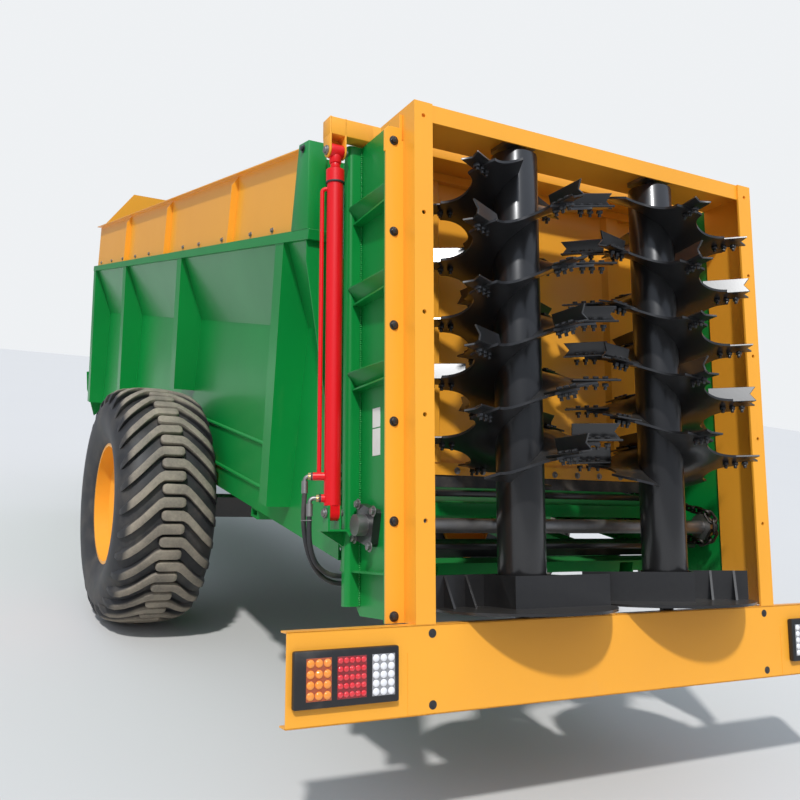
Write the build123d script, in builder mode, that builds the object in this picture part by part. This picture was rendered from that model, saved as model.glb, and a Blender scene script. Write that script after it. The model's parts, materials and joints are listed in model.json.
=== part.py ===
"""Towed fertilizer spreader with a raked rotor frame at its rear.

Millimetres. +X points forward to the towing eye, +Y to the machine's left and +Z up from the ground.
The rear end leans forward, so its pieces are drawn in a leaning frame of three local directions:
u forward, v left and w up along the lean, with its origin on the rear beam's top edge.
"""

import os
from math import atan, ceil, cos, degrees, hypot, pi, radians, sin, sqrt, tan

from build123d import *

os.makedirs("parts", exist_ok=True)

# Clearances
seat_gap = 0.3  # between round faces that rest on each other
slide_gap = 0.5  # between a sliding piece and its sleeve
turn_gap = 8  # around pieces that turn

# Leaning rear frame
frame_x = -3310  # rear face of the frame at the beam's top edge
beam_top_z = 676
rake = 13.3  # forward lean in degrees
frame_half = 754  # outer faces of the post webs
post_sheet = 8
post_flange = 66  # rear flange of a post, seen from behind
post_depth = 225
post_height = 1603
bolt_flange = 61  # outward flange that bolts to the body
bolt_flange_u = 80  # front face of the bolt flange
bolt_flange_height = 1493
post_hole_r = 7
post_hole_w = 1557  # highest hole of a rear flange
post_hole_pitch = 315
post_holes = 5
top_beam_height = 58
top_beam_sheet = 6
top_floor_w = 1574  # underside of the top beam's floor

# Rear light beam
beam_half = 1150
beam_height = 253
beam_flange = 45
beam_sheet = 6
lamp_length = 316
lamp_height = 152
lamp_depth = 22
lamp_inset = 14  # from the beam's end
lamp_border = 12
lens_depth = 5

# Spreading rotors
rotor_u = 90
rotor_spacing = 622
tube_r = 79
tube_bottom = 36
tube_top = 1536
tube_sheet = 8
flight_pitch = 396
flight_starts = 2
flight_outer = 258
flight_sheet = 8
flight_low = 425
flight_front_w = 1218  # height where a left flight crosses the rotor's rear line
right_drop = 80  # the right rotor's flights cross this much lower
lobes_per_turn = 6
scallop_r = 78
scallop_centre = 290
steps_per_turn = 12
blade_reach = 334
blade_length = 160
blade_leg = 54
blade_sheet = 7
blade_notch = 20
blade_seat = 2  # how far a blade's weld sits into the flight
disc_reach = 300
vane_length = 378
disc_sheet = 8
disc_w = 30  # upper face of the disc
vane_height = 100
vane_sheet = 8
vane_offset = 92
disc_right_turn = -42  # the right disc's turn at rest
vane_gusset = 60
stub_r = 24
bearing_side = 120
bearing_height = 26

# Rotor gearboxes and their carrier
carrier_height = 90
carrier_depth = 100
carrier_half = 700
gearbox_side = 150
gearbox_height = 92
gearbox_top_w = -14
cross_shaft_r = 18

# Hopper
hopper_front_x = 1727
wall_sheet = 5
wall_half = 770  # outer face below the knee
knee_z = 1500
wall_top_half = 884
rail_top_z = 1836
rail_drop = 36
rail_half = 905
rail_width = 75
sill_z = 730
sill_flange = 60
floor_z = 943
floor_lip_u = 400  # rear edge of the floor, folded down
floor_sheet = 5
bearer_height = 45
bearer_width = 60
bearers = 6
rib_width = 84
rib_top_half = 902
rib_bottom_half = 866
rib_bottom_z = 815
rib_short_z = 1132  # lower end of the rib above the wheel
bead_r = 9
bead_levels = (830, 1010)
front_wall_gap = 50  # between the floor and the front wall
bearer_sheet = 6
front_rib_depth = 60

# Yellow boards
board_half = 876
board_sheet = 4
board_top_z = 2132
board_lip = 29
board_rib = 46
peak_z = 2416
peak_half = 660
casing_width = 112
casing_depth = 78
casing_top_z = 2156
casing_u = 480
casing_out = 940

# Rear side plates and door
side_sheet = 6
door_u = 460
door_sheet = 6
door_bottom = 470
door_top = 1588
door_edge_gap = 6
door_rib = 30
door_strip = 44  # bolted strip along the lower edge
door_fold_v = 436
door_fold_width = 90
door_fold_depth = 22
door_gap = 4  # between the door and each guide
door_travel = 1000
guide_depth = 10
guide_width = 40
flap_drop = 43  # below the door's edge
flap_sheet = 10
corner_post_u = 355
corner_post_width = 48
corner_post_out = 810
corner_post_low = 30
corner_post_top = 1580
post_corner = 18
door_beam_height = 62
door_beam_half = 902
door_beam_arm = 108
door_beam_sheet = 6

# Lift cylinders
cylinder_v = 868
cylinder_u = 338
barrel_r = 27
barrel_wall = 5
barrel_low = 350
barrel_high = 1470
gland_r = 31
gland_length = 42
rod_r = 15
eye_r = 24
eye_width = 32
rod_low = 400
rod_eye_w = 1536
lug_pin_r = 12
lug_half = 20
pipe_r = 7
pipe_reach = 43  # pipe's centre line from the barrel's
pipe_low = 452
pipe_high = 1405
pipe_turn = 14
port_r = 13
port_bite = 0.5  # how far a port's root stays from the bore
fitting_r = 7
ferrule_r = 10.5
hex_r = 12
hose_r = 8

# Chassis and drawbar
chassis_rail_half = 450
chassis_rail_height = 100
chassis_rail_width = 80
chassis_wall = 7
chassis_rear_x = -2850
cross_member_width = 80
drawbar_tip_x = 3304
drawbar_z = 680  # centre line of the drawbar beams
drawbar_width = 80
eye_bore_r = 25
eye_ring_r = 58
eye_thickness = 34
eye_x = 3451.3
jack_x = 2620
jack_y = 360
jack_sleeve = 90
jack_wall = 6
jack_sleeve_length = 420
jack_foot = 220
jack_foot_sheet = 12
jack_lift = 330

# Axle and wheels
axle_x = -1045
tyre_r = 570
tyre_width = 430
tyre_centre_y = 1030
tread_corner = 48
tyre_tread = 52
tyre_wall = 24
lug_count = 28
lug_height = 26
lug_bar = 32
lug_sweep = 104
rim_flange_r = 298
rim_r = 282
rim_sheet = 7
rim_width = 400
disc_inset = 62  # wheel disc behind the outer rim edge
hub_r = 92
hub_length = 150
hub_cap_r = 46
hub_cap_depth = 12
hub_end_y = 1120
disc_face_y = 1070  # outer face of the wheel disc's centre
stud_circle_r = 137
stud_count = 10
axle_side = 100
axle_half = 760
stub_axle_r = 32

# Conveyor
sprocket_r = 60
chain_half = 700
chain_width = 28
chain_height = 16
slat_height = 20
slat_width = 44
slat_pitch = 350
slat_first_top = 185  # nearest slat of the upper run, ahead of the rear shaft
slat_first_low = 41
conveyor_u = 275
conveyor_z = 893
collar_r = 34
collar_length = 34
motor_r = 34
motor_length = 130
motor_flange = 14
motor_flange_side = 80
conveyor_shaft_r = 25
conveyor_front_inset = 112

# Control valve
valve_y = 790
valve_z = 930
valve_width = 96
valve_height = 70
valve_depth = 60

# Driveline
driveline_r = 26
driveline_z = 654  # under the floor
driveline_joint_r = 36
input_x = 2905
input_z = 806
input_stub_r = 17.3
input_stub_length = 90
input_block_width = 120
input_block_depth = 60
input_plate = 16
gear_stub_length = 60

# Worked out
disc_tip = sqrt(disc_reach**2 - vane_offset**2)
rake_sin = sin(radians(rake))
rake_cos = cos(radians(rake))
axle_z = tyre_r
rail_bottom_z = sill_z - chassis_rail_height
lean = Plane(
    origin=(frame_x, 0, beam_top_z),
    x_dir=(rake_cos, 0, -rake_sin),
    z_dir=(rake_sin, 0, rake_cos),
)


def lean_level(w):
    """Plane square to the lean, with sketch axes u and v."""
    return lean.offset(w)


def lean_face(u):
    """Plane that faces forward along u, with sketch axes v and w."""
    return Plane(origin=lean.from_local_coords((u, 0, 0)), x_dir=lean.y_dir, z_dir=lean.x_dir)


def lean_side(v):
    """Plane along the machine, with sketch axes u and w, that faces right."""
    return Plane(origin=lean.from_local_coords((0, v, 0)), x_dir=lean.x_dir, z_dir=-lean.y_dir)


def rotor_axis(side):
    """Plane on a rotor's axis, left for 1 and right for -1."""
    return Plane(
        origin=lean.from_local_coords((rotor_u, side * rotor_spacing / 2, 0)),
        x_dir=lean.x_dir,
        z_dir=lean.z_dir,
    )


def side_plane(y):
    """Upright plane along the machine, with sketch axes X and Z, that faces right."""
    return Plane.XZ.offset(-y)


def cross_plane(x):
    """Upright plane across the machine, with sketch axes Y and Z, that faces forward."""
    return Plane.YZ.offset(x)


def folded(points, thickness):
    """Outline of a folded sheet: a line and its copy one thickness to the left, with mitred folds."""
    moved = []
    for index, (x, y) in enumerate(points):
        normals = []
        for a, b in ((index - 1, index), (index, index + 1)):
            if a >= 0 and b < len(points):
                dx = points[b][0] - points[a][0]
                dy = points[b][1] - points[a][1]
                normals.append((-dy / hypot(dx, dy), dx / hypot(dx, dy)))
        nx = sum(n[0] for n in normals) / len(normals)
        ny = sum(n[1] for n in normals) / len(normals)
        scale = thickness / (nx * nx + ny * ny)
        moved.append((x + nx * scale, y + ny * scale))
    return list(points) + moved[::-1]


def sheet(plane, points, thickness, length, both=False):
    """Folded sheet drawn on a plane and drawn out along its normal."""
    with BuildPart() as made:
        with BuildSketch(plane):
            with BuildLine():
                Polyline(*folded(points, thickness), close=True)
            make_face()
        extrude(amount=length, both=both)
    return made.part


def outline(plane, points, length, both=False):
    """Flat piece with straight edges, drawn out along the plane's normal."""
    with BuildPart() as made:
        with BuildSketch(plane):
            with BuildLine():
                Polyline(*points, close=True)
            make_face()
        extrude(amount=length, both=both)
    return made.part


def lean_w(u, z):
    """Height along the lean of a point at distance u and world height z."""
    return (z - beam_top_z + u * rake_sin) / rake_cos


def lean_x(u, z):
    """World x of a point at distance u and world height z."""
    return frame_x + u * rake_cos + lean_w(u, z) * rake_sin


def save(part, name):
    """Label a finished piece and write it."""
    part.label = name
    export_step(part, f"parts/{name}.step")


conveyor_rear_x = lean_x(conveyor_u, conveyor_z)
conveyor_front_x = hopper_front_x - conveyor_front_inset
conveyor_run = conveyor_front_x - conveyor_rear_x
loop_middle = ((conveyor_rear_x + conveyor_front_x) / 2, conveyor_z)


# Rotor frame: two posts of hat section
post_line = (
    (0, frame_half - post_flange),
    (0, frame_half),
    (bolt_flange_u - post_sheet, frame_half),
    (bolt_flange_u - post_sheet, frame_half + bolt_flange),
)
with BuildPart() as rotor_frame_posts:
    with BuildSketch(lean_face(0)):
        with Locations((frame_half - post_flange / 2, post_height / 2)):
            Rectangle(post_flange, post_height)
    extrude(amount=post_sheet)
    with BuildSketch(lean_face(0)):
        with Locations((frame_half - post_sheet / 2, post_height / 2)):
            Rectangle(post_sheet, post_height)
    extrude(amount=post_depth)
    with BuildSketch(lean_face(bolt_flange_u)):
        with Locations((frame_half + bolt_flange / 2, bolt_flange_height / 2)):
            Rectangle(bolt_flange, bolt_flange_height)
    extrude(amount=-post_sheet)
    with Locations(lean_face(0)):
        with Locations([(frame_half - post_flange / 2, post_hole_w - i * post_hole_pitch) for i in range(post_holes)]):
            Cylinder(post_hole_r, 4 * post_sheet, mode=Mode.SUBTRACT)
    mirror(about=Plane.XZ)
save(rotor_frame_posts.part, "rotor_frame_posts")

# Top beam: rear plate, deep floor over the rotors and front plate, between the post webs
beam_inner = frame_half - post_sheet
with BuildPart() as top_beam:
    with BuildSketch(lean_face(post_sheet)):
        with Locations((0, post_height - top_beam_height / 2)):
            Rectangle(2 * beam_inner, top_beam_height)
    extrude(amount=top_beam_sheet)
    with BuildSketch(lean_face(post_sheet)):
        with Locations((0, top_floor_w + top_beam_sheet / 2)):
            Rectangle(2 * beam_inner, top_beam_sheet)
    extrude(amount=post_depth - post_sheet)
    with BuildSketch(lean_face(post_depth)):
        with Locations((0, (post_height + top_floor_w) / 2)):
            Rectangle(2 * beam_inner, post_height - top_floor_w)
    extrude(amount=-top_beam_sheet)
    with Locations([rotor_axis(side).offset(top_floor_w) for side in (-1, 1)]):
        Cylinder(stub_r + 2, 6 * top_beam_sheet, mode=Mode.SUBTRACT)
save(top_beam.part, "top_beam")

# Rear light beam: a channel with its open side forward, closed at both ends
with BuildPart() as rear_beam:
    with BuildSketch(lean_side(0)):
        with BuildLine():
            Polyline(
                *folded(
                    (
                        (beam_flange, -beam_height),
                        (0, -beam_height),
                        (0, 0),
                        (beam_flange, 0),
                    ),
                    -beam_sheet,
                ),
                close=True,
            )
        make_face()
    extrude(amount=beam_half, both=True)
    for v in (-beam_half + beam_sheet, beam_half):
        with BuildSketch(lean_side(v)):
            with Locations((beam_flange / 2, -beam_height / 2)):
                Rectangle(beam_flange, beam_height)
        extrude(amount=beam_sheet)
save(rear_beam.part, "rear_beam")

# Lamps on the beam's ends
lamp_v = beam_half - lamp_inset - lamp_length / 2
lamp_w = -beam_height / 2
with BuildPart() as lamp_housings:
    for side in (-1, 1):
        with BuildSketch(lean_face(0)):
            with Locations((side * lamp_v, lamp_w)):
                RectangleRounded(lamp_length, lamp_height, lamp_border)
        extrude(amount=-lamp_depth)
        with BuildSketch(lean_face(-lamp_depth)):
            with Locations((side * lamp_v, lamp_w)):
                Rectangle(lamp_length - 2 * lamp_border, lamp_height - 2 * lamp_border)
        extrude(amount=lens_depth, mode=Mode.SUBTRACT)
save(lamp_housings.part, "lamp_housings")

# Lens fields from the outer end inward: name, share of the lens width
lens_fields = (("amber", 0.32), ("red", 0.38), ("white", 0.30))
lens_total = lamp_length - 2 * lamp_border
lens_start = beam_half - lamp_inset - lamp_border
for lens_name, lens_share in lens_fields:
    lens_width = lens_total * lens_share
    with BuildPart() as lens:
        for side in (-1, 1):
            with BuildSketch(lean_face(-lamp_depth)):
                with Locations((side * (lens_start - lens_width / 2), lamp_w)):
                    Rectangle(lens_width, lamp_height - 2 * lamp_border)
            extrude(amount=lens_depth)
    save(lens.part, f"lamp_{lens_name}")
    lens_start -= lens_width


# Rotor: tube, helical flights with scalloped edges, and bolted angle blades
def flight_ribbon(start, low, high):
    """Helical ribbon round the Z axis, between two heights, through height zero at angle start."""
    per_step = flight_pitch / steps_per_turn
    first = ceil(low / per_step)
    last = int(high // per_step)
    with BuildPart() as ribbon:
        for step in range(first, last + 1):
            angle = start + step * 360 / steps_per_turn
            radial = Vector(cos(radians(angle)), sin(radians(angle)), 0)
            along = Vector(-sin(radians(angle)), cos(radians(angle)), 0)
            with BuildSketch(Plane(origin=(0, 0, step * per_step), x_dir=radial, z_dir=along)):
                with Locations(((tube_r - tube_sheet / 2 + flight_outer) / 2, 0)):
                    Rectangle(flight_outer - tube_r + tube_sheet / 2, flight_sheet)
        loft(ruled=True)
    return ribbon.part


helix_angle = degrees(atan(flight_pitch / (2 * pi * (blade_reach - blade_length / 2))))
with BuildPart() as blade:
    with BuildSketch(Plane.XY):
        with BuildLine():
            Polyline(
                (blade_reach - blade_length, -blade_leg / 2),
                (blade_reach, -blade_leg / 2),
                (blade_reach - blade_notch, 0),
                (blade_reach, blade_leg / 2),
                (blade_reach - blade_length, blade_leg / 2),
                close=True,
            )
        make_face()
    extrude(amount=blade_sheet)
    with BuildSketch(Plane.XZ.offset(-blade_leg / 2)):
        with BuildLine():
            Polyline(
                (blade_reach - blade_length, 0),
                (blade_reach, 0),
                (blade_reach - blade_notch, blade_leg / 2),
                (blade_reach, blade_leg),
                (blade_reach - blade_length, blade_leg),
                close=True,
            )
        make_face()
    extrude(amount=blade_sheet)


def rotor(front_w):
    """Right-handed rotor round the Z axis whose flight faces the rear, along -X, at height front_w."""
    high = post_height - top_beam_height - turn_gap - flight_sheet
    rear = 180
    low_cut = flight_low - flight_pitch / steps_per_turn
    with BuildPart() as made:
        with BuildSketch(Plane.XY.offset(tube_bottom)):
            Circle(tube_r)
        extrude(amount=tube_top - tube_bottom)
        with BuildSketch(Plane.XY.offset(tube_bottom)):
            Circle(tube_r - tube_sheet)
        extrude(amount=tube_top - tube_bottom - tube_sheet, mode=Mode.SUBTRACT)
        with BuildSketch(Plane.XY.offset(tube_top)):
            Circle(stub_r)
        extrude(amount=top_floor_w + top_beam_sheet - tube_top)
        for start in range(flight_starts):
            zero = rear + start * 360 / flight_starts - front_w * 360 / flight_pitch
            add(flight_ribbon(zero, flight_low, high))
        with BuildSketch(Plane.XY.offset(low_cut)):
            with PolarLocations(scallop_centre, lobes_per_turn, start_angle=180 / lobes_per_turn):
                Circle(scallop_r)
        extrude(amount=tube_top - low_cut + flight_pitch, mode=Mode.SUBTRACT)
        for lobe in range(lobes_per_turn):
            for rung in range(-4 * flight_starts, 4 * flight_starts):
                height = front_w + flight_pitch * (lobe / lobes_per_turn + rung / flight_starts)
                if flight_low + blade_leg / 2 < height < high - 1.5 * blade_leg:
                    turned = Location((0, 0, height), (0, 0, 1), rear + lobe * 360 / lobes_per_turn)
                    tilted = Location((0, 0, 0), (1, 0, 0), helix_angle)
                    raised = Location((0, 0, flight_sheet / 2 - blade_seat))
                    add(blade.part.moved(turned * tilted * raised))
    return made.part


left_rotor = rotor(flight_front_w)
right_rotor = mirror(rotor(flight_front_w - right_drop), about=Plane.XZ)
save(rotor_axis(1).location * left_rotor, "rotor_left")
save(rotor_axis(-1).location * right_rotor, "rotor_right")

# Spinning disc: round plate with a square box round the tube and two tall vanes that run on from its sides
with BuildPart() as disc:
    with BuildSketch(Plane.XY.offset(disc_w - disc_sheet)):
        Circle(disc_reach)
    extrude(amount=disc_sheet)
    with BuildSketch(Plane.XY.offset(disc_w)):
        Rectangle(2 * vane_offset, 2 * vane_offset)
        Rectangle(2 * (vane_offset - vane_sheet), 2 * (vane_offset - vane_sheet), mode=Mode.SUBTRACT)
        for side in (-1, 1):
            with Locations((side * (vane_offset - vane_sheet / 2), side * (disc_tip - vane_length / 2))):
                Rectangle(vane_sheet, vane_length)
    extrude(amount=vane_height)
    for side in (-1, 1):
        inner_face = side * (vane_offset - vane_sheet)
        for share in (0.56, 0.84):
            with BuildSketch(Plane.XZ.offset(-side * disc_tip * share)):
                with BuildLine():
                    Polyline(
                        (inner_face, disc_w),
                        (inner_face, disc_w + vane_height),
                        (inner_face - side * vane_gusset, disc_w),
                        close=True,
                    )
                make_face()
            extrude(amount=vane_sheet / 2, both=True)
    with BuildSketch(Plane.XY.offset(disc_w)):
        Circle(tube_r)
    extrude(amount=tube_bottom - disc_w)
    with BuildSketch(Plane.XY.offset(gearbox_top_w + seat_gap)):
        Circle(stub_r)
    extrude(amount=disc_w - gearbox_top_w - seat_gap)
left_disc = disc.part
save(rotor_axis(1).location * left_disc, "disc_left")
right_disc = mirror(left_disc, about=Plane.XZ).rotate(Axis.Z, disc_right_turn)
save(rotor_axis(-1).location * right_disc, "disc_right")

# Top stubs in their flange bearings under the top beam
with BuildPart() as top_bearings:
    for side in (-1, 1):
        with BuildSketch(rotor_axis(side).offset(top_floor_w)):
            RectangleRounded(bearing_side, bearing_side, 14)
        extrude(amount=-bearing_height / 2)
        with BuildSketch(rotor_axis(side).offset(top_floor_w)):
            Circle(stub_r + seat_gap)
        extrude(amount=-bearing_height / 2, mode=Mode.SUBTRACT)
save(top_bearings.part, "rotor_top_bearings")

# Carrier across the frame, and the two rotor gearboxes with their cross shaft and centre gearbox
carrier_top_w = gearbox_top_w - gearbox_height
with BuildPart() as gearbox_carrier:
    with BuildSketch(lean_side(0)):
        with Locations((beam_flange + carrier_depth / 2, carrier_top_w - carrier_height / 2)):
            Rectangle(carrier_depth, carrier_height)
            Rectangle(carrier_depth - 2 * post_sheet, carrier_height - 2 * post_sheet, mode=Mode.SUBTRACT)
    extrude(amount=carrier_half, both=True)
save(gearbox_carrier.part, "gearbox_carrier")

gear_axis_w = carrier_top_w + gearbox_height / 2
with BuildPart() as rotor_gearboxes:
    for side in (-1, 1):
        with BuildSketch(rotor_axis(side).offset(carrier_top_w)):
            RectangleRounded(gearbox_side, gearbox_side, 20)
        extrude(amount=gearbox_height)
    with BuildSketch(lean_level(carrier_top_w)):
        with Locations((rotor_u, 0)):
            RectangleRounded(gearbox_side, gearbox_side, 20)
    extrude(amount=gearbox_height)
    with BuildSketch(lean_side(0)):
        with Locations((rotor_u, gear_axis_w)):
            Circle(cross_shaft_r)
    extrude(amount=rotor_spacing / 2, both=True)
    with BuildSketch(lean_face(rotor_u + gearbox_side / 2)):
        with Locations((0, gear_axis_w)):
            Circle(driveline_r)
    extrude(amount=gear_stub_length)
save(rotor_gearboxes.part, "rotor_gearboxes")


def rear_cut(u):
    """Block behind the leaning plane at distance u, for trimming what starts there."""
    with BuildPart() as block:
        with BuildSketch(lean_face(u)):
            Rectangle(4 * beam_half, 4 * post_height)
        extrude(amount=-4 * post_height)
    return block.part


# Hopper sides: one folded sheet each, with box ribs
hopper_u = door_u + 2 * door_sheet + door_rib
hopper_rear_x = lean_x(hopper_u, sill_z)
hopper_length = hopper_front_x - hopper_rear_x
side_line = (
    (wall_half - sill_flange, sill_z),
    (wall_half, sill_z),
    (wall_half, knee_z),
    (wall_top_half, rail_top_z - rail_drop),
    (rail_half, rail_top_z - rail_drop),
    (rail_half, rail_top_z),
    (rail_half - rail_width, rail_top_z),
)
rear_trim = rear_cut(hopper_u)
# Ribs: rear face behind the hopper's front edge, lower end
rib_table = (
    (0, rib_bottom_z),
    (1190, rib_bottom_z),
    (2570, rib_short_z),
    (4035, rib_bottom_z),
)
rib_slope = (rib_top_half - rib_bottom_half) / (rail_top_z - rail_drop - rib_bottom_z)
with BuildPart() as hopper_side:
    add(sheet(cross_plane(hopper_front_x), side_line, wall_sheet, -hopper_length - rail_top_z))
    add(rear_trim, mode=Mode.SUBTRACT)
    for rib_back, rib_low in rib_table:
        rib_x = hopper_front_x - rib_back - (rib_width if rib_back == 0 else 0)
        rib_low_half = rib_top_half - rib_slope * (rail_top_z - rail_drop - rib_low)
        rib_points = (
            (rib_top_half, rail_top_z - rail_drop),
            (wall_top_half, rail_top_z - rail_drop),
            (wall_half, knee_z),
            (wall_half, rib_low),
            (rib_low_half, rib_low),
        )
        add(outline(cross_plane(rib_x), rib_points, rib_width))
        hollow_points = (
            (rib_top_half - wall_sheet, rail_top_z - rail_drop),
            (wall_top_half, rail_top_z - rail_drop),
            (wall_half, knee_z),
            (wall_half, rib_low),
            (rib_low_half - wall_sheet, rib_low),
        )
        add(
            outline(cross_plane(rib_x + wall_sheet), hollow_points, rib_width - 2 * wall_sheet),
            mode=Mode.SUBTRACT,
        )
    for level in bead_levels:
        bead_low_x = hopper_front_x - rib_table[3][0] + rib_width
        bead_high_x = hopper_front_x - rib_table[2][0]
        with BuildSketch(cross_plane(bead_low_x)):
            with Locations((wall_half, level)):
                Circle(bead_r)
            with Locations((wall_half - bead_r, level)):
                Rectangle(2 * bead_r, 2 * bead_r, mode=Mode.SUBTRACT)
        extrude(amount=bead_high_x - bead_low_x)
save(hopper_side.part, "hopper_side_left")
save(mirror(hopper_side.part, about=Plane.XZ), "hopper_side_right")

# Hopper floor on its cross bearers
inner_half = wall_half - wall_sheet
floor_rear_x = lean_x(hopper_u, floor_z) + wall_sheet
floor_lip_x = lean_x(floor_lip_u, floor_z)
floor_front_x = conveyor_front_x - sprocket_r - turn_gap
floor_length = floor_front_x - floor_rear_x
with BuildPart() as hopper_floor:
    with BuildSketch(side_plane(0)):
        with Locations(((floor_front_x + floor_rear_x) / 2, floor_z - floor_sheet / 2)):
            Rectangle(floor_length, floor_sheet)
        for index in range(bearers):
            bearer_x = floor_front_x - bearer_width / 2 - (floor_length - bearer_width) * index / (bearers - 1)
            with Locations((bearer_x, floor_z - floor_sheet - bearer_height / 2)):
                Rectangle(bearer_width, bearer_height)
                with Locations((0, -bearer_sheet / 2)):
                    Rectangle(bearer_width - 2 * bearer_sheet, bearer_height - bearer_sheet, mode=Mode.SUBTRACT)
    extrude(amount=inner_half, both=True)
    floor_lip = (
        (floor_rear_x, floor_z),
        (floor_lip_x, floor_z),
        (floor_lip_x, floor_z - bearer_height),
    )
    add(sheet(side_plane(0), floor_lip, floor_sheet, frame_half, both=True))
save(hopper_floor.part, "hopper_floor")

# Hopper front wall between the sides, with upright channels on its front
front_low_z = floor_z + front_wall_gap
inner_line = folded(side_line, wall_sheet)[: len(side_line) - 1 : -1]
front_edge = (
    (inner_half, front_low_z),
    inner_line[2],
    inner_line[3],
    (inner_line[3][0], rail_top_z - wall_sheet),
    (rail_half - rail_width, rail_top_z - wall_sheet),
    (rail_half - rail_width, rail_top_z),
)
front_points = front_edge + tuple((-y, z) for y, z in reversed(front_edge))
with BuildPart() as hopper_front:
    add(outline(cross_plane(hopper_front_x), front_points, -wall_sheet))
    for y in (-inner_half * 0.6, 0, inner_half * 0.6):
        with BuildSketch(cross_plane(hopper_front_x)):
            with Locations((y, (front_low_z + rail_top_z - rail_drop) / 2)):
                Rectangle(rib_width, rail_top_z - rail_drop - front_low_z)
        extrude(amount=front_rib_depth)
    with BuildSketch(cross_plane(hopper_front_x)):
        with Locations((0, front_low_z + rib_width / 2)):
            Rectangle(2 * inner_half, rib_width)
    extrude(amount=front_rib_depth)
save(hopper_front.part, "hopper_front")

# Side boards on the rails: upright sheet, top lip and triangular ribs
board_stations = (1107, 2181, 3332)
with BuildPart() as side_board:
    board_line = (
        (board_half - board_sheet, rail_top_z),
        (board_half - board_sheet, board_top_z),
        (board_half + board_lip, board_top_z),
    )
    add(sheet(cross_plane(hopper_front_x), board_line, -board_sheet, -hopper_length - rail_top_z))
    for station in board_stations:
        rib_points = (
            (board_half, rail_top_z),
            (board_half + board_lip, rail_top_z),
            (board_half + board_lip, board_top_z - board_rib),
            (board_half, board_top_z - board_sheet),
        )
        add(outline(cross_plane(hopper_front_x - station), rib_points, 2 * board_sheet))
    add(rear_cut(casing_u + casing_depth), mode=Mode.SUBTRACT)
save(side_board.part, "side_board_left")
save(mirror(side_board.part, about=Plane.XZ), "side_board_right")

# Peaked front board
with BuildPart() as front_board:
    board_edge = (
        (board_half - board_sheet, rail_top_z),
        (board_half - board_sheet, board_top_z),
        (peak_half, peak_z),
    )
    board_points = board_edge + tuple((-y, z) for y, z in reversed(board_edge))
    add(outline(cross_plane(hopper_front_x), board_points, -board_sheet))
save(front_board.part, "front_board")

# Rear side plates in line with the hopper, with corner posts, flanges and gussets
plate_out = frame_half + side_sheet
gusset_levels = (138, 728, 1016, 1296)
plate_low_w = lean_w(hopper_u, sill_z - chassis_rail_height / 3)
with BuildPart() as rear_side:
    plate_points = (
        (bolt_flange_u, 0),
        (corner_post_u, 0),
        (hopper_u - slide_gap, plate_low_w),
        (hopper_u - slide_gap, corner_post_top),
        (bolt_flange_u, corner_post_top),
    )
    add(outline(lean_side(plate_out), plate_points, side_sheet))
    with BuildSketch(lean_face(bolt_flange_u)):
        with Locations((plate_out + (bolt_flange - side_sheet) / 2, bolt_flange_height / 2)):
            Rectangle(bolt_flange - side_sheet, bolt_flange_height)
    extrude(amount=side_sheet)
    with BuildSketch(lean_level(corner_post_low)):
        with Locations((corner_post_u + corner_post_width / 2, (plate_out + corner_post_out) / 2 - post_corner)):
            RectangleRounded(corner_post_width, corner_post_out - plate_out + 2 * post_corner, post_corner)
            RectangleRounded(
                corner_post_width - 2 * side_sheet,
                corner_post_out - plate_out + 2 * post_corner - 2 * side_sheet,
                post_corner - side_sheet,
                mode=Mode.SUBTRACT,
            )
        with Locations((corner_post_u + corner_post_width / 2, plate_out - side_sheet - post_corner)):
            Rectangle(2 * corner_post_width, 2 * post_corner + side_sheet, mode=Mode.SUBTRACT)
    extrude(amount=corner_post_top - corner_post_low)
    for level in gusset_levels:
        with BuildSketch(lean_level(level)):
            with BuildLine():
                Polyline(
                    (bolt_flange_u + side_sheet, plate_out),
                    (bolt_flange_u + side_sheet, frame_half + bolt_flange - side_sheet),
                    (corner_post_u, corner_post_out - post_corner),
                    (corner_post_u, plate_out),
                    close=True,
                )
            make_face()
        extrude(amount=side_sheet)
    with BuildSketch(side_plane(plate_out)):
        with Locations((conveyor_rear_x, conveyor_z)):
            Circle(conveyor_shaft_r + turn_gap)
    extrude(amount=side_sheet, mode=Mode.SUBTRACT)
save(rear_side.part, "rear_side_left")
save(mirror(rear_side.part, about=Plane.XZ), "rear_side_right")

# Door guides on the inner faces of the side plates
with BuildPart() as door_guides:
    for edge in (-1, 1):
        with BuildSketch(lean_level(door_bottom - flap_drop)):
            with Locations(
                (
                    door_u + door_sheet / 2 + edge * (door_sheet / 2 + door_gap + guide_depth / 2),
                    frame_half - guide_width / 2,
                )
            ):
                Rectangle(guide_depth, guide_width)
        extrude(amount=corner_post_top - door_bottom + flap_drop)
    mirror(about=Plane.XZ)
save(door_guides.part, "door_guides")

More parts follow.
